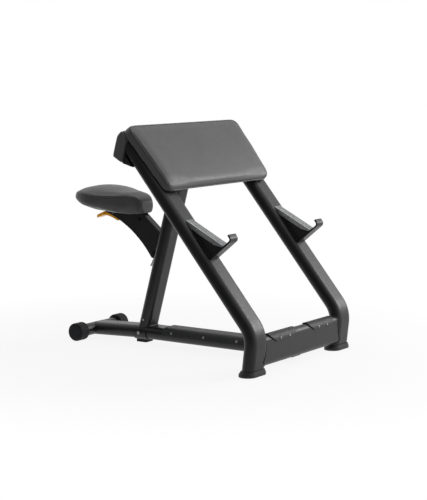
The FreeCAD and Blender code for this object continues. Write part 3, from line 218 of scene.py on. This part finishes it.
def colours(material, pattern, dark, light):
    """A pattern spread between two colours."""
    ramp = material.node_tree.nodes.new("ShaderNodeValToRGB")
    ends = ramp.color_ramp.elements
    ends[0].position = noise_low
    ends[0].color = (*dark, 1)
    ends[1].position = noise_high
    ends[1].color = (*light, 1)
    material.node_tree.links.new(pattern, ramp.inputs["Fac"])
    return ramp.outputs["Color"]


def relief(material, height, depth, strength=1.0, under=None):
    """Raised detail of a real depth in metres, over other relief where there is some."""
    inputs = {"Height": height, "Distance": depth, "Strength": strength}
    if under:
        inputs["Normal"] = under
    return join(material.node_tree, "ShaderNodeBump", inputs)


powder_coat = finish("powder_coat", roughness=0.36, specular=0.38)
drive(powder_coat,
      Base_Color=colours(powder_coat, cloud(powder_coat, 26, 4),
                         (0.0095, 0.0098, 0.0105), (0.0135, 0.0138, 0.0147)),
      Roughness=between(powder_coat, cloud(powder_coat, 70, 3), 0.33, 0.41),
      Normal=relief(powder_coat, cloud(powder_coat, 320, 1), depth=0.0002, strength=0.06))


def dress(material, *names):
    """Give CAD pieces whose shape is right their finish."""
    for name in names:
        frame["nodes"][name].data.materials.clear()
        frame["nodes"][name].data.materials.append(material)


dress(powder_coat, "right_leg", "left_leg", "front_cross_tube", "top_cross_tube", "base_spine",
      "rear_crossbar", "seat_post", "seat_plate", "gas_spring_cylinder", "front_web", "arc_web")


def in_hand(piece):
    """Select one piece alone, for the operators that follow."""
    bpy.ops.object.select_all(action="DESELECT")
    bpy.context.view_layer.objects.active = piece
    piece.select_set(True)


def merged(piece):
    """Join a piece's loose faces into closed skins that face outwards."""
    in_hand(piece)
    bpy.ops.object.mode_set(mode="EDIT")
    bpy.ops.mesh.select_all(action="SELECT")
    bpy.ops.mesh.remove_doubles(threshold=0.00001)
    bpy.ops.mesh.normals_make_consistent(inside=False)
    bpy.ops.object.mode_set(mode="OBJECT")


def copy_of(node, name):
    """A new piece that starts as a CAD solid, its loose triangles merged."""
    piece = bpy.data.objects.new(name, frame["nodes"][node].data.copy())
    scene.collection.objects.link(piece)
    merged(piece)
    return piece


def change(piece, kind, **settings):
    """Add one modifier and apply it."""
    in_hand(piece)
    modifier = piece.modifiers.new(kind.lower(), kind)
    for key, value in settings.items():
        setattr(modifier, key, value)
    bpy.ops.object.modifier_apply(modifier=modifier.name)


def joined_flats():
    """Make one face of each flat of the piece in hand."""
    bpy.ops.object.mode_set(mode="EDIT")
    bpy.ops.mesh.select_all(action="SELECT")
    bpy.ops.mesh.customdata_custom_splitnormals_clear()
    bpy.ops.mesh.dissolve_limited(angle_limit=math.radians(0.5))
    bpy.ops.object.mode_set(mode="OBJECT")


def fitted(piece, material, body, node=None):
    """Give a piece its material, the body that it moves with and the CAD node that it stands for."""
    piece.data.materials.clear()
    piece.data.materials.append(material)
    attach(piece, body)
    if node:
        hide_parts(node)


def eased(node, material, body, width=0.0008, sharp=35, rounds=2):
    """A folded, cut or moulded piece as it is made, with its edges broken or rounded."""
    piece = copy_of(node, node + "_eased")
    joined_flats()
    change(piece, "BEVEL", width=width, segments=rounds, limit_method="ANGLE",
           angle_limit=math.radians(sharp))
    bpy.ops.object.shade_smooth_by_angle(angle=math.radians(sharp))
    change(piece, "WEIGHTED_NORMAL", keep_sharp=True)
    fitted(piece, material, body, node)
    return piece


for node in ("right_rest_bracket", "left_rest_bracket", "right_hook_plate", "left_hook_plate", "foot_strap",
             "right_chest_bracket", "left_chest_bracket"):
    eased(node, powder_coat, "frame")
post_slide = Vector(frame["record"]["behaviour"]["joints"][0]["axis"]).normalized()
spine_height = 0.045
post_foot = Vector((-0.219802, 0, spine_height))
wall_out = Vector((-post_slide.z, 0, post_slide.x))
wall_inside = 0.022
at_wall = 0.0005
wall_clearance = 0.0008
for node in ("right_seat_cheek", "left_seat_cheek"):
    cheek = eased(node, powder_coat, "seat_carriage")
    # The heel that slides inside the post's rear wall is ground to run clear of it.
    for vertex in cheek.data.vertices:
        if abs((vertex.co - post_foot).dot(wall_out) - wall_inside) < at_wall:
            vertex.co -= wall_out * wall_clearance


# Welds: the tubes are joined by a rippled bead all round each joint, ground nowhere and
# coated over with the frame. The brackets of the bar rests have a bead along both edges.
def evened(path, closed, rounds):
    """A path whose points are averaged with their neighbours."""
    for _ in range(rounds):
        last = len(path) - 1
        path = [place if not closed and index in (0, last)
                else (path[index - 1] + place * 2 + path[(index + 1) % len(path)]) / 4
                for index, place in enumerate(path)]
    return path


def resampled(path, step, closed):
    """A path with points at even distances."""
    afters = path[1:] + path[:1] if closed else path[1:]
    made = []
    for place, after in zip(path, afters):
        parts = max(round((after - place).length / step), 1)
        made += [place.lerp(after, part / parts) for part in range(parts)]
    return made if closed else made + path[-1:]


def meshed(curve):
    """A curve's tubes as one closed mesh, their end caps joined on."""
    piece = bpy.data.objects.new(curve.name, curve)
    scene.collection.objects.link(piece)
    in_hand(piece)
    bpy.ops.object.convert(target="MESH")
    merged(bpy.context.object)
    bpy.ops.object.shade_smooth_by_angle(angle=math.radians(50))
    return bpy.context.object


def round_curve(name, radius, resolution):
    """An empty curve with a round section and closed ends."""
    curve = bpy.data.curves.new(name, "CURVE")
    curve.dimensions = "3D"
    curve.bevel_depth = radius
    curve.bevel_resolution = resolution
    curve.use_fill_caps = True
    return curve


def tube_along(name, path, radius, closed, ripple=0.0):
    """A round cord or bead along a path, as a mesh. A bead swells and thins from point to point."""
    curve = round_curve(name, radius, resolution=2)
    spline = curve.splines.new("POLY")
    spline.points.add(len(path) - 1)
    spline.use_cyclic_u = closed
    for index, (point, place) in enumerate(zip(spline.points, path)):
        point.co = (*place, 1)
        point.radius = 1 + ripple * (1 if index % 2 else -1)
    return meshed(curve)


def bead(name, path, closed, radius=0.003):
    """One weld bead, coated with the frame."""
    ripple_length = 0.0028
    piece = tube_along(name, resampled(path, ripple_length, closed), radius, closed, ripple=0.1)
    fitted(piece, powder_coat, "frame")


def weld_round(name, tube, middle, aim, onto):
    """A bead where one tube ends on another, found by rays along the first tube's walls."""
    outside = 0.3
    widest_closed = 0.03
    aim = Vector(aim).normalized()
    first = aim.orthogonal().normalized()
    second = aim.cross(first)
    path = []
    for degrees in range(0, 360, 4):
        away = first * math.cos(math.radians(degrees)) + second * math.sin(math.radians(degrees))
        met, wall, _, _ = frame["nodes"][tube].ray_cast(Vector(middle) + away * outside, -away)
        if met:
            struck, place, _, _ = frame["nodes"][onto].ray_cast(wall, aim)
            if struck:
                path.append(place)
    gaps = [(path[index] - path[index - 1]).length for index in range(len(path))]
    widest = max(range(len(gaps)), key=gaps.__getitem__)
    closed = gaps[widest] < widest_closed
    bead(name, path if closed else path[widest:] + path[:widest], closed)


def middle_of(node):
    """The middle of a CAD node's box."""
    low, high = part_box(node)
    return (Vector(low) + Vector(high)) / 2


cross_middle = middle_of("front_cross_tube")
top_middle = middle_of("top_cross_tube")
for side, name in ((-1, "right"), (1, "left")):
    outward = Vector((0, side, 0))
    beside_middle = outward * 0.2
    weld_round(name + "_cross_weld", "front_cross_tube", cross_middle + beside_middle, outward, name + "_leg")
    weld_round(name + "_top_weld", "top_cross_tube", top_middle + beside_middle, outward, name + "_leg")
above_foot = post_slide * 0.075
below_head = post_slide * 0.655
weld_round("post_foot_weld", "seat_post", post_foot + above_foot, -post_slide, "base_spine")
weld_round("post_head_weld", "seat_post", post_foot + below_head, post_slide, "top_cross_tube")
spine_front = cross_middle + Vector((-0.1, 0, spine_height - cross_middle.z))
weld_round("spine_front_weld", "base_spine", spine_front, (1, 0, 0), "front_cross_tube")
rest_axes = {mount["name"]: mount["axis"] for mount in frame["record"]["mounts"]}
up_leg = Vector(rest_axes["right_bar_rest"])
across = Vector((0, 1, 0))
off_leg = across.cross(up_leg)
on_leg = 0.0005
for name in ("right", "left"):
    corners = [vertex.co for vertex in frame["nodes"][name + "_rest_bracket"].data.vertices]
    leg_face = min(corner.dot(off_leg) for corner in corners)
    held = [corner for corner in corners if corner.dot(off_leg) < leg_face + on_leg]
    ends = [pick(corner.dot(up_leg) for corner in held) for pick in (min, max)]
    for edge, pick in (("inner", min), ("outer", max)):
        beside = pick(corner.y for corner in held)
        bead("%s_rest_%s_weld" % (name, edge),
             [off_leg * leg_face + across * beside + up_leg * end for end in ends], False, radius=0.0022)


# Feet: moulded rubber shoes on the front legs, rubber caps on the rear crossbar and a rubber
# block under the strap. The rubber is near black, dull and a little dusty, and the shoes are
# a little paler and smoother.
rubber = finish("rubber", roughness=0.7, specular=0.24)
drive(rubber,
      Base_Color=colours(rubber, cloud(rubber, 60, 5), (0.0095, 0.0099, 0.0118), (0.0155, 0.016, 0.0185)),
      Roughness=between(rubber, cloud(rubber, 120, 3), 0.62, 0.8),
      Normal=relief(rubber, cloud(rubber, 900, 2), depth=0.0003, strength=0.25))
dress(rubber, "foot_block")
for node in ("right_rear_cap", "left_rear_cap"):
    eased(node, rubber, "frame", width=0.005, rounds=5)
shoe_rubber = finish("shoe_rubber", roughness=0.5, specular=0.4)
drive(shoe_rubber,
      Base_Color=colours(shoe_rubber, cloud(shoe_rubber, 60, 5),
                         (0.019, 0.0195, 0.0205), (0.028, 0.0285, 0.0295)),
      Roughness=between(shoe_rubber, cloud(shoe_rubber, 120, 3), 0.44, 0.6),
      Normal=relief(shoe_rubber, cloud(shoe_rubber, 700, 2), depth=0.0003, strength=0.15))
for node in ("right_front_foot", "left_front_foot"):
    eased(node, shoe_rubber, "frame", width=0.0018, sharp=30, rounds=3)


# Covers: moulded plastic over the cross tube and the spine, with a fine leathery grain
# that hides scratches from shoes and bars. They are held by pan-head screws. The glides in
# the post are of the same plastic.
grained_plastic = finish("grained_plastic", roughness=0.55, specular=0.4)
grain = join(grained_plastic.node_tree, "ShaderNodeTexVoronoi",
             {"Vector": surface_place(grained_plastic), "Scale": 700.0}, feature="SMOOTH_F1")
drive(grained_plastic,
      Base_Color=colours(grained_plastic, cloud(grained_plastic, 50, 4),
                         (0.021, 0.0215, 0.023), (0.028, 0.0285, 0.03)),
      Roughness=between(grained_plastic, cloud(grained_plastic, 90, 2), 0.48, 0.6),
      Normal=relief(grained_plastic, grain, depth=0.0004, strength=0.3))
dress(grained_plastic, "right_wear_cover", "left_wear_cover", "spine_cover", "lower_glide", "upper_glide")


# Wear strips: extruded aluminium caps on the ramps of the bar rests, with grooves along
# their length and the fine draw lines of the extrusion.
drawn_aluminium = finish("drawn_aluminium", roughness=0.5, metallic=0.85)
drive(drawn_aluminium,
      Base_Color=colours(drawn_aluminium, cloud(drawn_aluminium, 12, 3, stretch=(1, 14, 1)),
                         (0.36, 0.365, 0.37), (0.46, 0.465, 0.47)),
      Roughness=between(drawn_aluminium, cloud(drawn_aluminium, 20, 3, stretch=(1, 20, 1)), 0.46, 0.58))
for node in ("right_wear_strip", "left_wear_strip"):
    eased(node, drawn_aluminium, "frame", width=0.0003)


# Fasteners: zinc-plated steel with the slightly cloudy brightness of the plating, and blackened
# bolts through the seat's cheeks. Those that show have a hexagon socket pressed into the head.
def loose_parts(piece):
    """The places of the vertices of each separate solid in a piece."""
    group = list(range(len(piece.data.vertices)))

    def root(index):
        while group[index] != index:
            group[index] = group[group[index]]
            index = group[index]
        return index

    for edge in piece.data.edges:
        first, last = edge.vertices
        group[root(first)] = root(last)
    parts = {}
    for vertex in piece.data.vertices:
        parts.setdefault(root(vertex.index), []).append(vertex.co.copy())
    return list(parts.values())


def socketed(node, material, body, radius, depth, ways):
    """Bolts or screws with a hexagon socket in each head. ways says which way the heads of one face."""
    head_flat = 0.0002
    piece = copy_of(node, node + "_socketed")
    joined_flats()
    wrenches = []
    for places in loose_parts(piece):
        middle = sum(places, Vector()) / len(places)
        for way in ways(middle):
            top = max(place.dot(way) for place in places)
            rim = [place for place in places if place.dot(way) > top - head_flat]
            bpy.ops.mesh.primitive_cylinder_add(vertices=6, radius=radius, depth=2 * depth,
                                                location=sum(rim, Vector()) / len(rim),
                                                rotation=way.to_track_quat("Z", "Y").to_euler())
            bpy.ops.object.transform_apply(location=True, rotation=True, scale=True)
            wrenches.append(bpy.context.object)
    for wrench in wrenches:
        change(piece, "BOOLEAN", operation="DIFFERENCE", solver="EXACT", object=wrench)
        bpy.data.objects.remove(wrench)
    in_hand(piece)
    bpy.ops.object.shade_smooth_by_angle(angle=math.radians(35))
    fitted(piece, material, body, node)


cover_turn = math.radians(78)
spine_turn = math.radians(25)
leg_beside = 0.31


def off_cross_tube(middle):
    """Screws of the wear covers face forwards, a little up."""
    return [Vector((math.sin(cover_turn), 0, math.cos(cover_turn)))]


def off_spine(middle):
    """Screws of the spine cover face their own side, a little up."""
    return [Vector((0, math.copysign(math.cos(spine_turn), middle.y), math.sin(spine_turn)))]


def off_strip(middle):
    """Screws of a wear strip face the side of the leg that they are on."""
    outer = math.copysign(1, abs(middle.y) - leg_beside)
    return [Vector((0, outer * math.copysign(1, middle.y), 0))]


def both_sides(middle):
    """Through bolts have a head at each end."""
    return [Vector((0, -1, 0)), Vector((0, 1, 0))]


def off_board(middle):
    """Bolts of the arm pad are put in from behind."""
    return [-off_leg]


zinc = finish("zinc_plate", roughness=0.34, metallic=1.0)
drive(zinc,
      Base_Color=colours(zinc, cloud(zinc, 220, 3), (0.30, 0.30, 0.295), (0.44, 0.44, 0.43)),
      Roughness=between(zinc, cloud(zinc, 300, 3), 0.28, 0.44))
dress(zinc, "bracket_spacers", "chest_bolts", "glide_pins", "lever_pin", "gas_spring_pin", "gas_spring_rod",
      "spring_clip")
socketed("wear_cover_screws", zinc, "frame", radius=0.0016, depth=0.0014, ways=off_cross_tube)
socketed("spine_cover_screws", zinc, "frame", radius=0.0016, depth=0.0014, ways=off_spine)
socketed("wear_strip_screws", zinc, "frame", radius=0.0014, depth=0.0012, ways=off_strip)
black_oxide = finish("black_oxide", roughness=0.42, metallic=0.8)
drive(black_oxide,
      Base_Color=colours(black_oxide, cloud(black_oxide, 260, 3),
                         (0.02, 0.021, 0.024), (0.045, 0.046, 0.05)),
      Roughness=between(black_oxide, cloud(black_oxide, 320, 3), 0.34, 0.52))
dress(black_oxide, "seat_bolts")
socketed("bracket_bolts", black_oxide, "seat_carriage", radius=0.003, depth=0.003, ways=both_sides)
socketed("foot_strap_bolt", zinc, "frame", radius=0.0028, depth=0.0026, ways=both_sides)
socketed("arm_pad_bolts", zinc, "frame", radius=0.003, depth=0.003, ways=off_board)


# Boards: birch plywood under the cushions, dark stained on the faces. They are cut to the
# cushions' outlines and bolted to the frame, the chest brackets and the seat plate.
plywood = finish("plywood", roughness=0.7, specular=0.3)
drive(plywood,
      Base_Color=colours(plywood, cloud(plywood, 14, 5, stretch=(1, 6, 1)),
                         (0.10, 0.07, 0.045), (0.2, 0.145, 0.09)),
      Normal=relief(plywood, cloud(plywood, 60, 4, stretch=(1, 8, 1)), depth=0.0006, strength=0.3))
dress(plywood, "arm_pad_board", "chest_board", "seat_board")


# Lever: moulded in glossy orange-yellow plastic so that the hand finds it, with rounded
# edges. It turns on a pin under the seat.
lever_plastic = finish("lever_plastic", roughness=0.28)
drive(lever_plastic,
      Base_Color=colours(lever_plastic, cloud(lever_plastic, 40, 3),
                         (0.92, 0.40, 0.008), (1.0, 0.47, 0.012)),
      Roughness=between(lever_plastic, cloud(lever_plastic, 160, 2), 0.22, 0.34),
      Normal=relief(lever_plastic, cloud(lever_plastic, 500, 1), depth=0.0002, strength=0.1))
eased("release_lever", lever_plastic, "lever", width=0.0014, sharp=25)


# Arm pad: moulded foam on a plywood board in a dark grey leatherette cover, sewn from a face
# panel and a side band with piping in the seam. The cover is drawn tight.
leatherette = finish("leatherette", roughness=0.46, specular=0.55)
pebbles = join(leatherette.node_tree, "ShaderNodeTexVoronoi",
               {"Vector": surface_place(leatherette), "Scale": 520.0, "Randomness": 0.9},
               feature="SMOOTH_F1")
# Faint lines where the cover is pulled run at a slant over the arm pad's face.
pull_along = 0.952
pull_aside = 0.306
pull_turn = Matrix((across * pull_along - up_leg * pull_aside,
                    up_leg * pull_along + across * pull_aside,
                    off_leg)).to_euler()
pull_place = join(leatherette.node_tree, "ShaderNodeMapping",
                  {"Vector": surface_place(leatherette), "Rotation": pull_turn})
pull_place = join(leatherette.node_tree, "ShaderNodeMapping", {"Vector": pull_place, "Scale": (0.09, 1, 1)})
pull_lines = join(leatherette.node_tree, "ShaderNodeTexNoise",
                  {"Vector": pull_place, "Scale": 170.0, "Detail": 2.0})
drive(leatherette,
      Base_Color=colours(leatherette, cloud(leatherette, 9, 5), (0.062, 0.062, 0.063), (0.076, 0.076, 0.077)),
      Roughness=between(leatherette, cloud(leatherette, 40, 4), 0.42, 0.5),
      Normal=relief(leatherette, pebbles, depth=0.0006, strength=0.3,
                    under=relief(leatherette, pull_lines, depth=0.0016, strength=0.12)))
thread = finish("sewing_thread", roughness=0.6, specular=0.3)
drive(thread,
      Base_Color=colours(thread, cloud(thread, 400, 2), (0.07, 0.07, 0.072), (0.12, 0.12, 0.123)),
      Roughness=between(thread, cloud(thread, 900, 1), 0.5, 0.7))


def room_beside(piece, neighbours):
    """How far each vertex is from the pieces beside the cushion."""
    meshes = [frame["nodes"][node].data for node in neighbours]
    trees = [BVHTree.FromPolygons([vertex.co for vertex in mesh.vertices],
                                  [face.vertices for face in mesh.polygons])
             for mesh in meshes]
    return [min(tree.find_nearest(vertex.co)[3] for tree in trees) for vertex in piece.data.vertices]


def put(piece, places):
    """Move all the vertices of a piece at once."""
    piece.data.vertices.foreach_set("co", [number for place in places for number in place])
    piece.data.update()


def drawn_tight(piece, rises, rounds):
    """The swelling without the small folds that a stretched cover doesn't have."""
    beside = [[] for _ in rises]
    for edge in piece.data.edges:
        first, last = edge.vertices
        beside[first].append(last)
        beside[last].append(first)
    for _ in range(rounds):
        rises = [(rise + sum(rises[other] for other in others) / len(others)) / 2
                 for rise, others in zip(rises, beside)]
    return rises


def swell(piece, turn, voxel, neighbours, shrink=0.002, most=0.006):
    """Fill a cushion: remesh it along its own axes, blow it up as cloth and cap the swelling."""
    piece.data.transform(turn.inverted())
    change(piece, "REMESH", mode="VOXEL", voxel_size=voxel)
    piece.data.transform(turn)
    change(piece, "SMOOTH", factor=0.5, iterations=2)
    vertices = piece.data.vertices
    # The cover is held where it lies on a neighbour, and is free from a few voxels off.
    free = [min(max((near - voxel) / (4 * voxel), 0.0), 1.0) for near in room_beside(piece, neighbours)]
    barely_free = 0.05
    outward = [vertex.normal.copy() for vertex in vertices]
    held = piece.vertex_groups.new(name="held")
    held.add([index for index, share in enumerate(free) if share < barely_free], 1.0, "REPLACE")
    start = [vertex.co - normal * shrink * share for vertex, normal, share in zip(vertices, outward, free)]
    put(piece, start)
    cloth = piece.modifiers.new("cloth", "CLOTH")
    cloth.settings.quality = 3
    cloth.settings.use_pressure = True
    cloth.settings.uniform_pressure_force = 4.0
    cloth.settings.effector_weights.gravity = 0.0
    cloth.settings.vertex_group_mass = "held"
    for step in range(1, 21):
        scene.frame_set(step)
    in_hand(piece)
    bpy.ops.object.modifier_apply(modifier="cloth")
    scene.frame_set(1)
    swollen = [min(max((vertex.co - place).dot(normal), 0.0), most)
               for vertex, place, normal in zip(piece.data.vertices, start, outward)]
    swollen = drawn_tight(piece, swollen, rounds=12)
    put(piece, [place + normal * rise * share
                for place, normal, rise, share in zip(start, outward, swollen, free)])
    change(piece, "SUBSURF", levels=1, render_levels=1)
    piece.data.polygons.foreach_set("use_smooth", [True] * len(piece.data.polygons))


def cast(piece, origin, aim):
    """Where a ray from inside a cushion meets its cover."""
    met, place, _, _ = piece.ray_cast(origin, aim)
    assert met, (piece.name, origin, aim)
    return place


def sink(piece, path, width, depth):
    """Press a seam into a cushion along a path."""
    parts = 4
    open_gap = 0.05
    tree = KDTree(len(path) * parts)
    for index, place in enumerate(path):
        after = path[(index + 1) % len(path)]
        if (after - place).length > open_gap:
            after = place
        for part in range(parts):
            tree.insert(place.lerp(after, part / parts), index * parts + part)
    tree.balance()
    inward = [-vertex.normal for vertex in piece.data.vertices]
    places = []
    for vertex, normal in zip(piece.data.vertices, inward):
        share = max(1 - (tree.find(vertex.co)[2] / width) ** 2, 0)
        places.append(vertex.co + normal * depth * share ** 2)
    put(piece, places)


def cover_place(piece, place, rise=0.0):
    """The nearest point of a cushion's cover, or one just above it."""
    _, near, normal, _ = piece.closest_point_on_mesh(place)
    return near + normal * rise


def piping(name, cushion, path, radius, closed, body):
    """Piping in a sewn seam: the cover is drawn in along it and the cord lies in the groove."""
    proud = radius * 0.45
    path = [cover_place(cushion, place) for place in evened(path, closed, rounds=6)]
    path = evened(path, closed, rounds=2)
    sink(cushion, path, width=0.009, depth=0.0022)
    path = [cover_place(cushion, place, proud) for place in path]
    cord = tube_along(name, evened(path, closed, rounds=2), radius, closed)
    fitted(cord, leatherette, body)
    return path


stitch_pitch = 0.0032
# A stitch from hole to hole: how far along, and how high over the cover.
stitch_bends = ((0.05, -0.0004), (0.35, 0.0003), (0.65, 0.0003), (0.95, -0.0004))


def stitches(name, cushion, seam, closed, aside, body):
    """A row of stitches beside a seam: short ends of thread that dip into the cover at both ends."""
    curve = round_curve(name, radius=0.0004, resolution=1)
    path = resampled(seam, stitch_pitch, closed)
    for place, after in zip(path[:-1:2], path[1::2]):
        _, _, normal, _ = cushion.closest_point_on_mesh(place)
        shift = normal.cross(after - place).normalized() * aside
        spline = curve.splines.new("POLY")
        spline.points.add(len(stitch_bends) - 1)
        for point, (along, rise) in zip(spline.points, stitch_bends):
            point.co = (*cover_place(cushion, place.lerp(after, along) + shift, rise), 1)
    fitted(meshed(curve), thread, body)


def upholstered(piece, body, node):
    """Cover a cushion, which is filled nearly tight."""
    fitted(piece, leatherette, body, node)


def reach(node, turn):
    """Lowest and highest corners of a CAD node along turned axes."""
    back = turn.inverted()
    corners = [back @ vertex.co for vertex in frame["nodes"][node].data.vertices]
    return (Vector(min(corner[axis] for corner in corners) for axis in range(3)),
            Vector(max(corner[axis] for corner in corners) for axis in range(3)))


leg_turn = Matrix((off_leg, across, up_leg)).transposed().to_4x4()
arm_pad = copy_of("arm_pad", "arm_cushion")
swell(arm_pad, leg_turn, voxel=0.0055,
      neighbours=("arm_pad_board", "right_leg", "left_leg", "chest_pad", "arm_pad_bolts"))
pad_low, pad_high = reach("arm_pad", leg_turn)
corner_inset = Vector((0, 0.075, 0.05))
face_seam = 0.032
foot_seam = 0.016
arm_seam = []
for side, end, start in ((1, -1, -90), (1, 1, 0), (-1, 1, 90), (-1, -1, 180)):
    middle_y = side * (pad_high.y - corner_inset.y)
    middle_u = pad_low.z + corner_inset.z if end < 0 else pad_high.z - corner_inset.z
    for degrees in range(start, start + 91, 10):
        aim = Vector((0, math.cos(math.radians(degrees)), math.sin(math.radians(degrees))))
        depth = face_seam + (foot_seam - face_seam) * max(-aim.z, 0) ** 2
        origin = leg_turn @ Vector((pad_low.x + depth, middle_y, middle_u))
        arm_seam.append(cast(arm_pad, origin, leg_turn.to_3x3() @ aim))
arm_seam = piping("arm_pad_piping", arm_pad, resampled(arm_seam, step=0.006, closed=True), radius=0.0024,
                  closed=True, body="frame")
stitches("arm_pad_stitches", arm_pad, arm_seam, closed=True, aside=-0.0055, body="frame")
upholstered(arm_pad, "frame", "arm_pad")


# Chest pad: a narrow cushion along the top of the arm pad, in the same cover. Each end is a
# sewn panel with piping round it.
chest_tilt = math.radians(15.6)
chest_turn = Matrix.Rotation(chest_tilt, 4, "Y")
chest_pad = copy_of("chest_pad", "chest_cushion")
swell(chest_pad, chest_turn, voxel=0.005,
      neighbours=("chest_board", "right_chest_bracket", "left_chest_bracket", "arm_pad", "chest_bolts"))
chest_low, chest_high = reach("chest_pad", chest_turn)
chest_middle = (chest_low + chest_high) / 2
end_seam = 0.012
for side, name in ((-1, "right_chest"), (1, "left_chest")):
    loop = []
    for degrees in range(0, 360, 6):
        aim = Vector((math.cos(math.radians(degrees)), 0, math.sin(math.radians(degrees))))
        origin = Vector((chest_middle.x, side * (chest_high.y - end_seam), chest_middle.z))
        loop.append(cast(chest_pad, chest_turn @ origin, chest_turn.to_3x3() @ aim))
    loop = piping(name + "_piping", chest_pad, resampled(loop, step=0.005, closed=True), radius=0.0022,
                  closed=True, body="frame")
    stitches(name + "_stitches", chest_pad, loop, closed=True, aside=side * 0.005, body="frame")
upholstered(chest_pad, "frame", "chest_pad")


# Seat: a contoured saddle cushion on the seat plate, broad behind and narrow at the nose. The
# top panel runs down over the nose, and a side band is sewn on round the rest.
seat_pad = copy_of("seat_pad", "seat_cushion")
swell(seat_pad, Matrix.Identity(4), voxel=0.0045,
      neighbours=("seat_board", "seat_plate", "seat_bolts", "right_seat_cheek", "left_seat_cheek",
                  "release_lever"))
plate_low, plate_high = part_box("seat_plate")
seat_middle = Vector(((plate_low[0] + plate_high[0]) / 2, 0, plate_high[2]))
# Seam along one side, from the nose's lower edge: ahead of the plate's middle and over the plate.
side_seam = ((0.100, 0.006), (0.100, 0.022), (0.097, 0.038), (0.090, 0.050), (0.080, 0.057), (0.052, 0.063),
             (0.008, 0.057), (-0.042, 0.052), (-0.097, 0.057), (-0.120, 0.060))
to_right = Vector((0, -1, 0))
to_left = Vector((0, 1, 0))
nose_inset = 0.004
tail_seam = 0.060
tail_drop = 0.008
seat_seam = []
for ahead, height in side_seam:
    seat_seam.append(cast(seat_pad, seat_middle + Vector((ahead - nose_inset, 0, height)), to_right))
for degrees in range(-75, 76, 15):
    aim = Vector((-math.cos(math.radians(degrees)), math.sin(math.radians(degrees)), 0))
    drop = tail_drop * max(math.cos(math.radians(degrees)), 0) ** 4
    seat_seam.append(cast(seat_pad, seat_middle + Vector((side_seam[-1][0], 0, tail_seam - drop)), aim))
for ahead, height in reversed(side_seam):
    seat_seam.append(cast(seat_pad, seat_middle + Vector((ahead - nose_inset, 0, height)), to_left))
seat_seam = piping("seat_piping", seat_pad, resampled(seat_seam, step=0.005, closed=False), radius=0.002,
                   closed=False, body="seat_carriage")
stitches("seat_stitches", seat_pad, seat_seam, closed=False, aside=0.005, body="seat_carriage")
upholstered(seat_pad, "seat_carriage", "seat_pad")
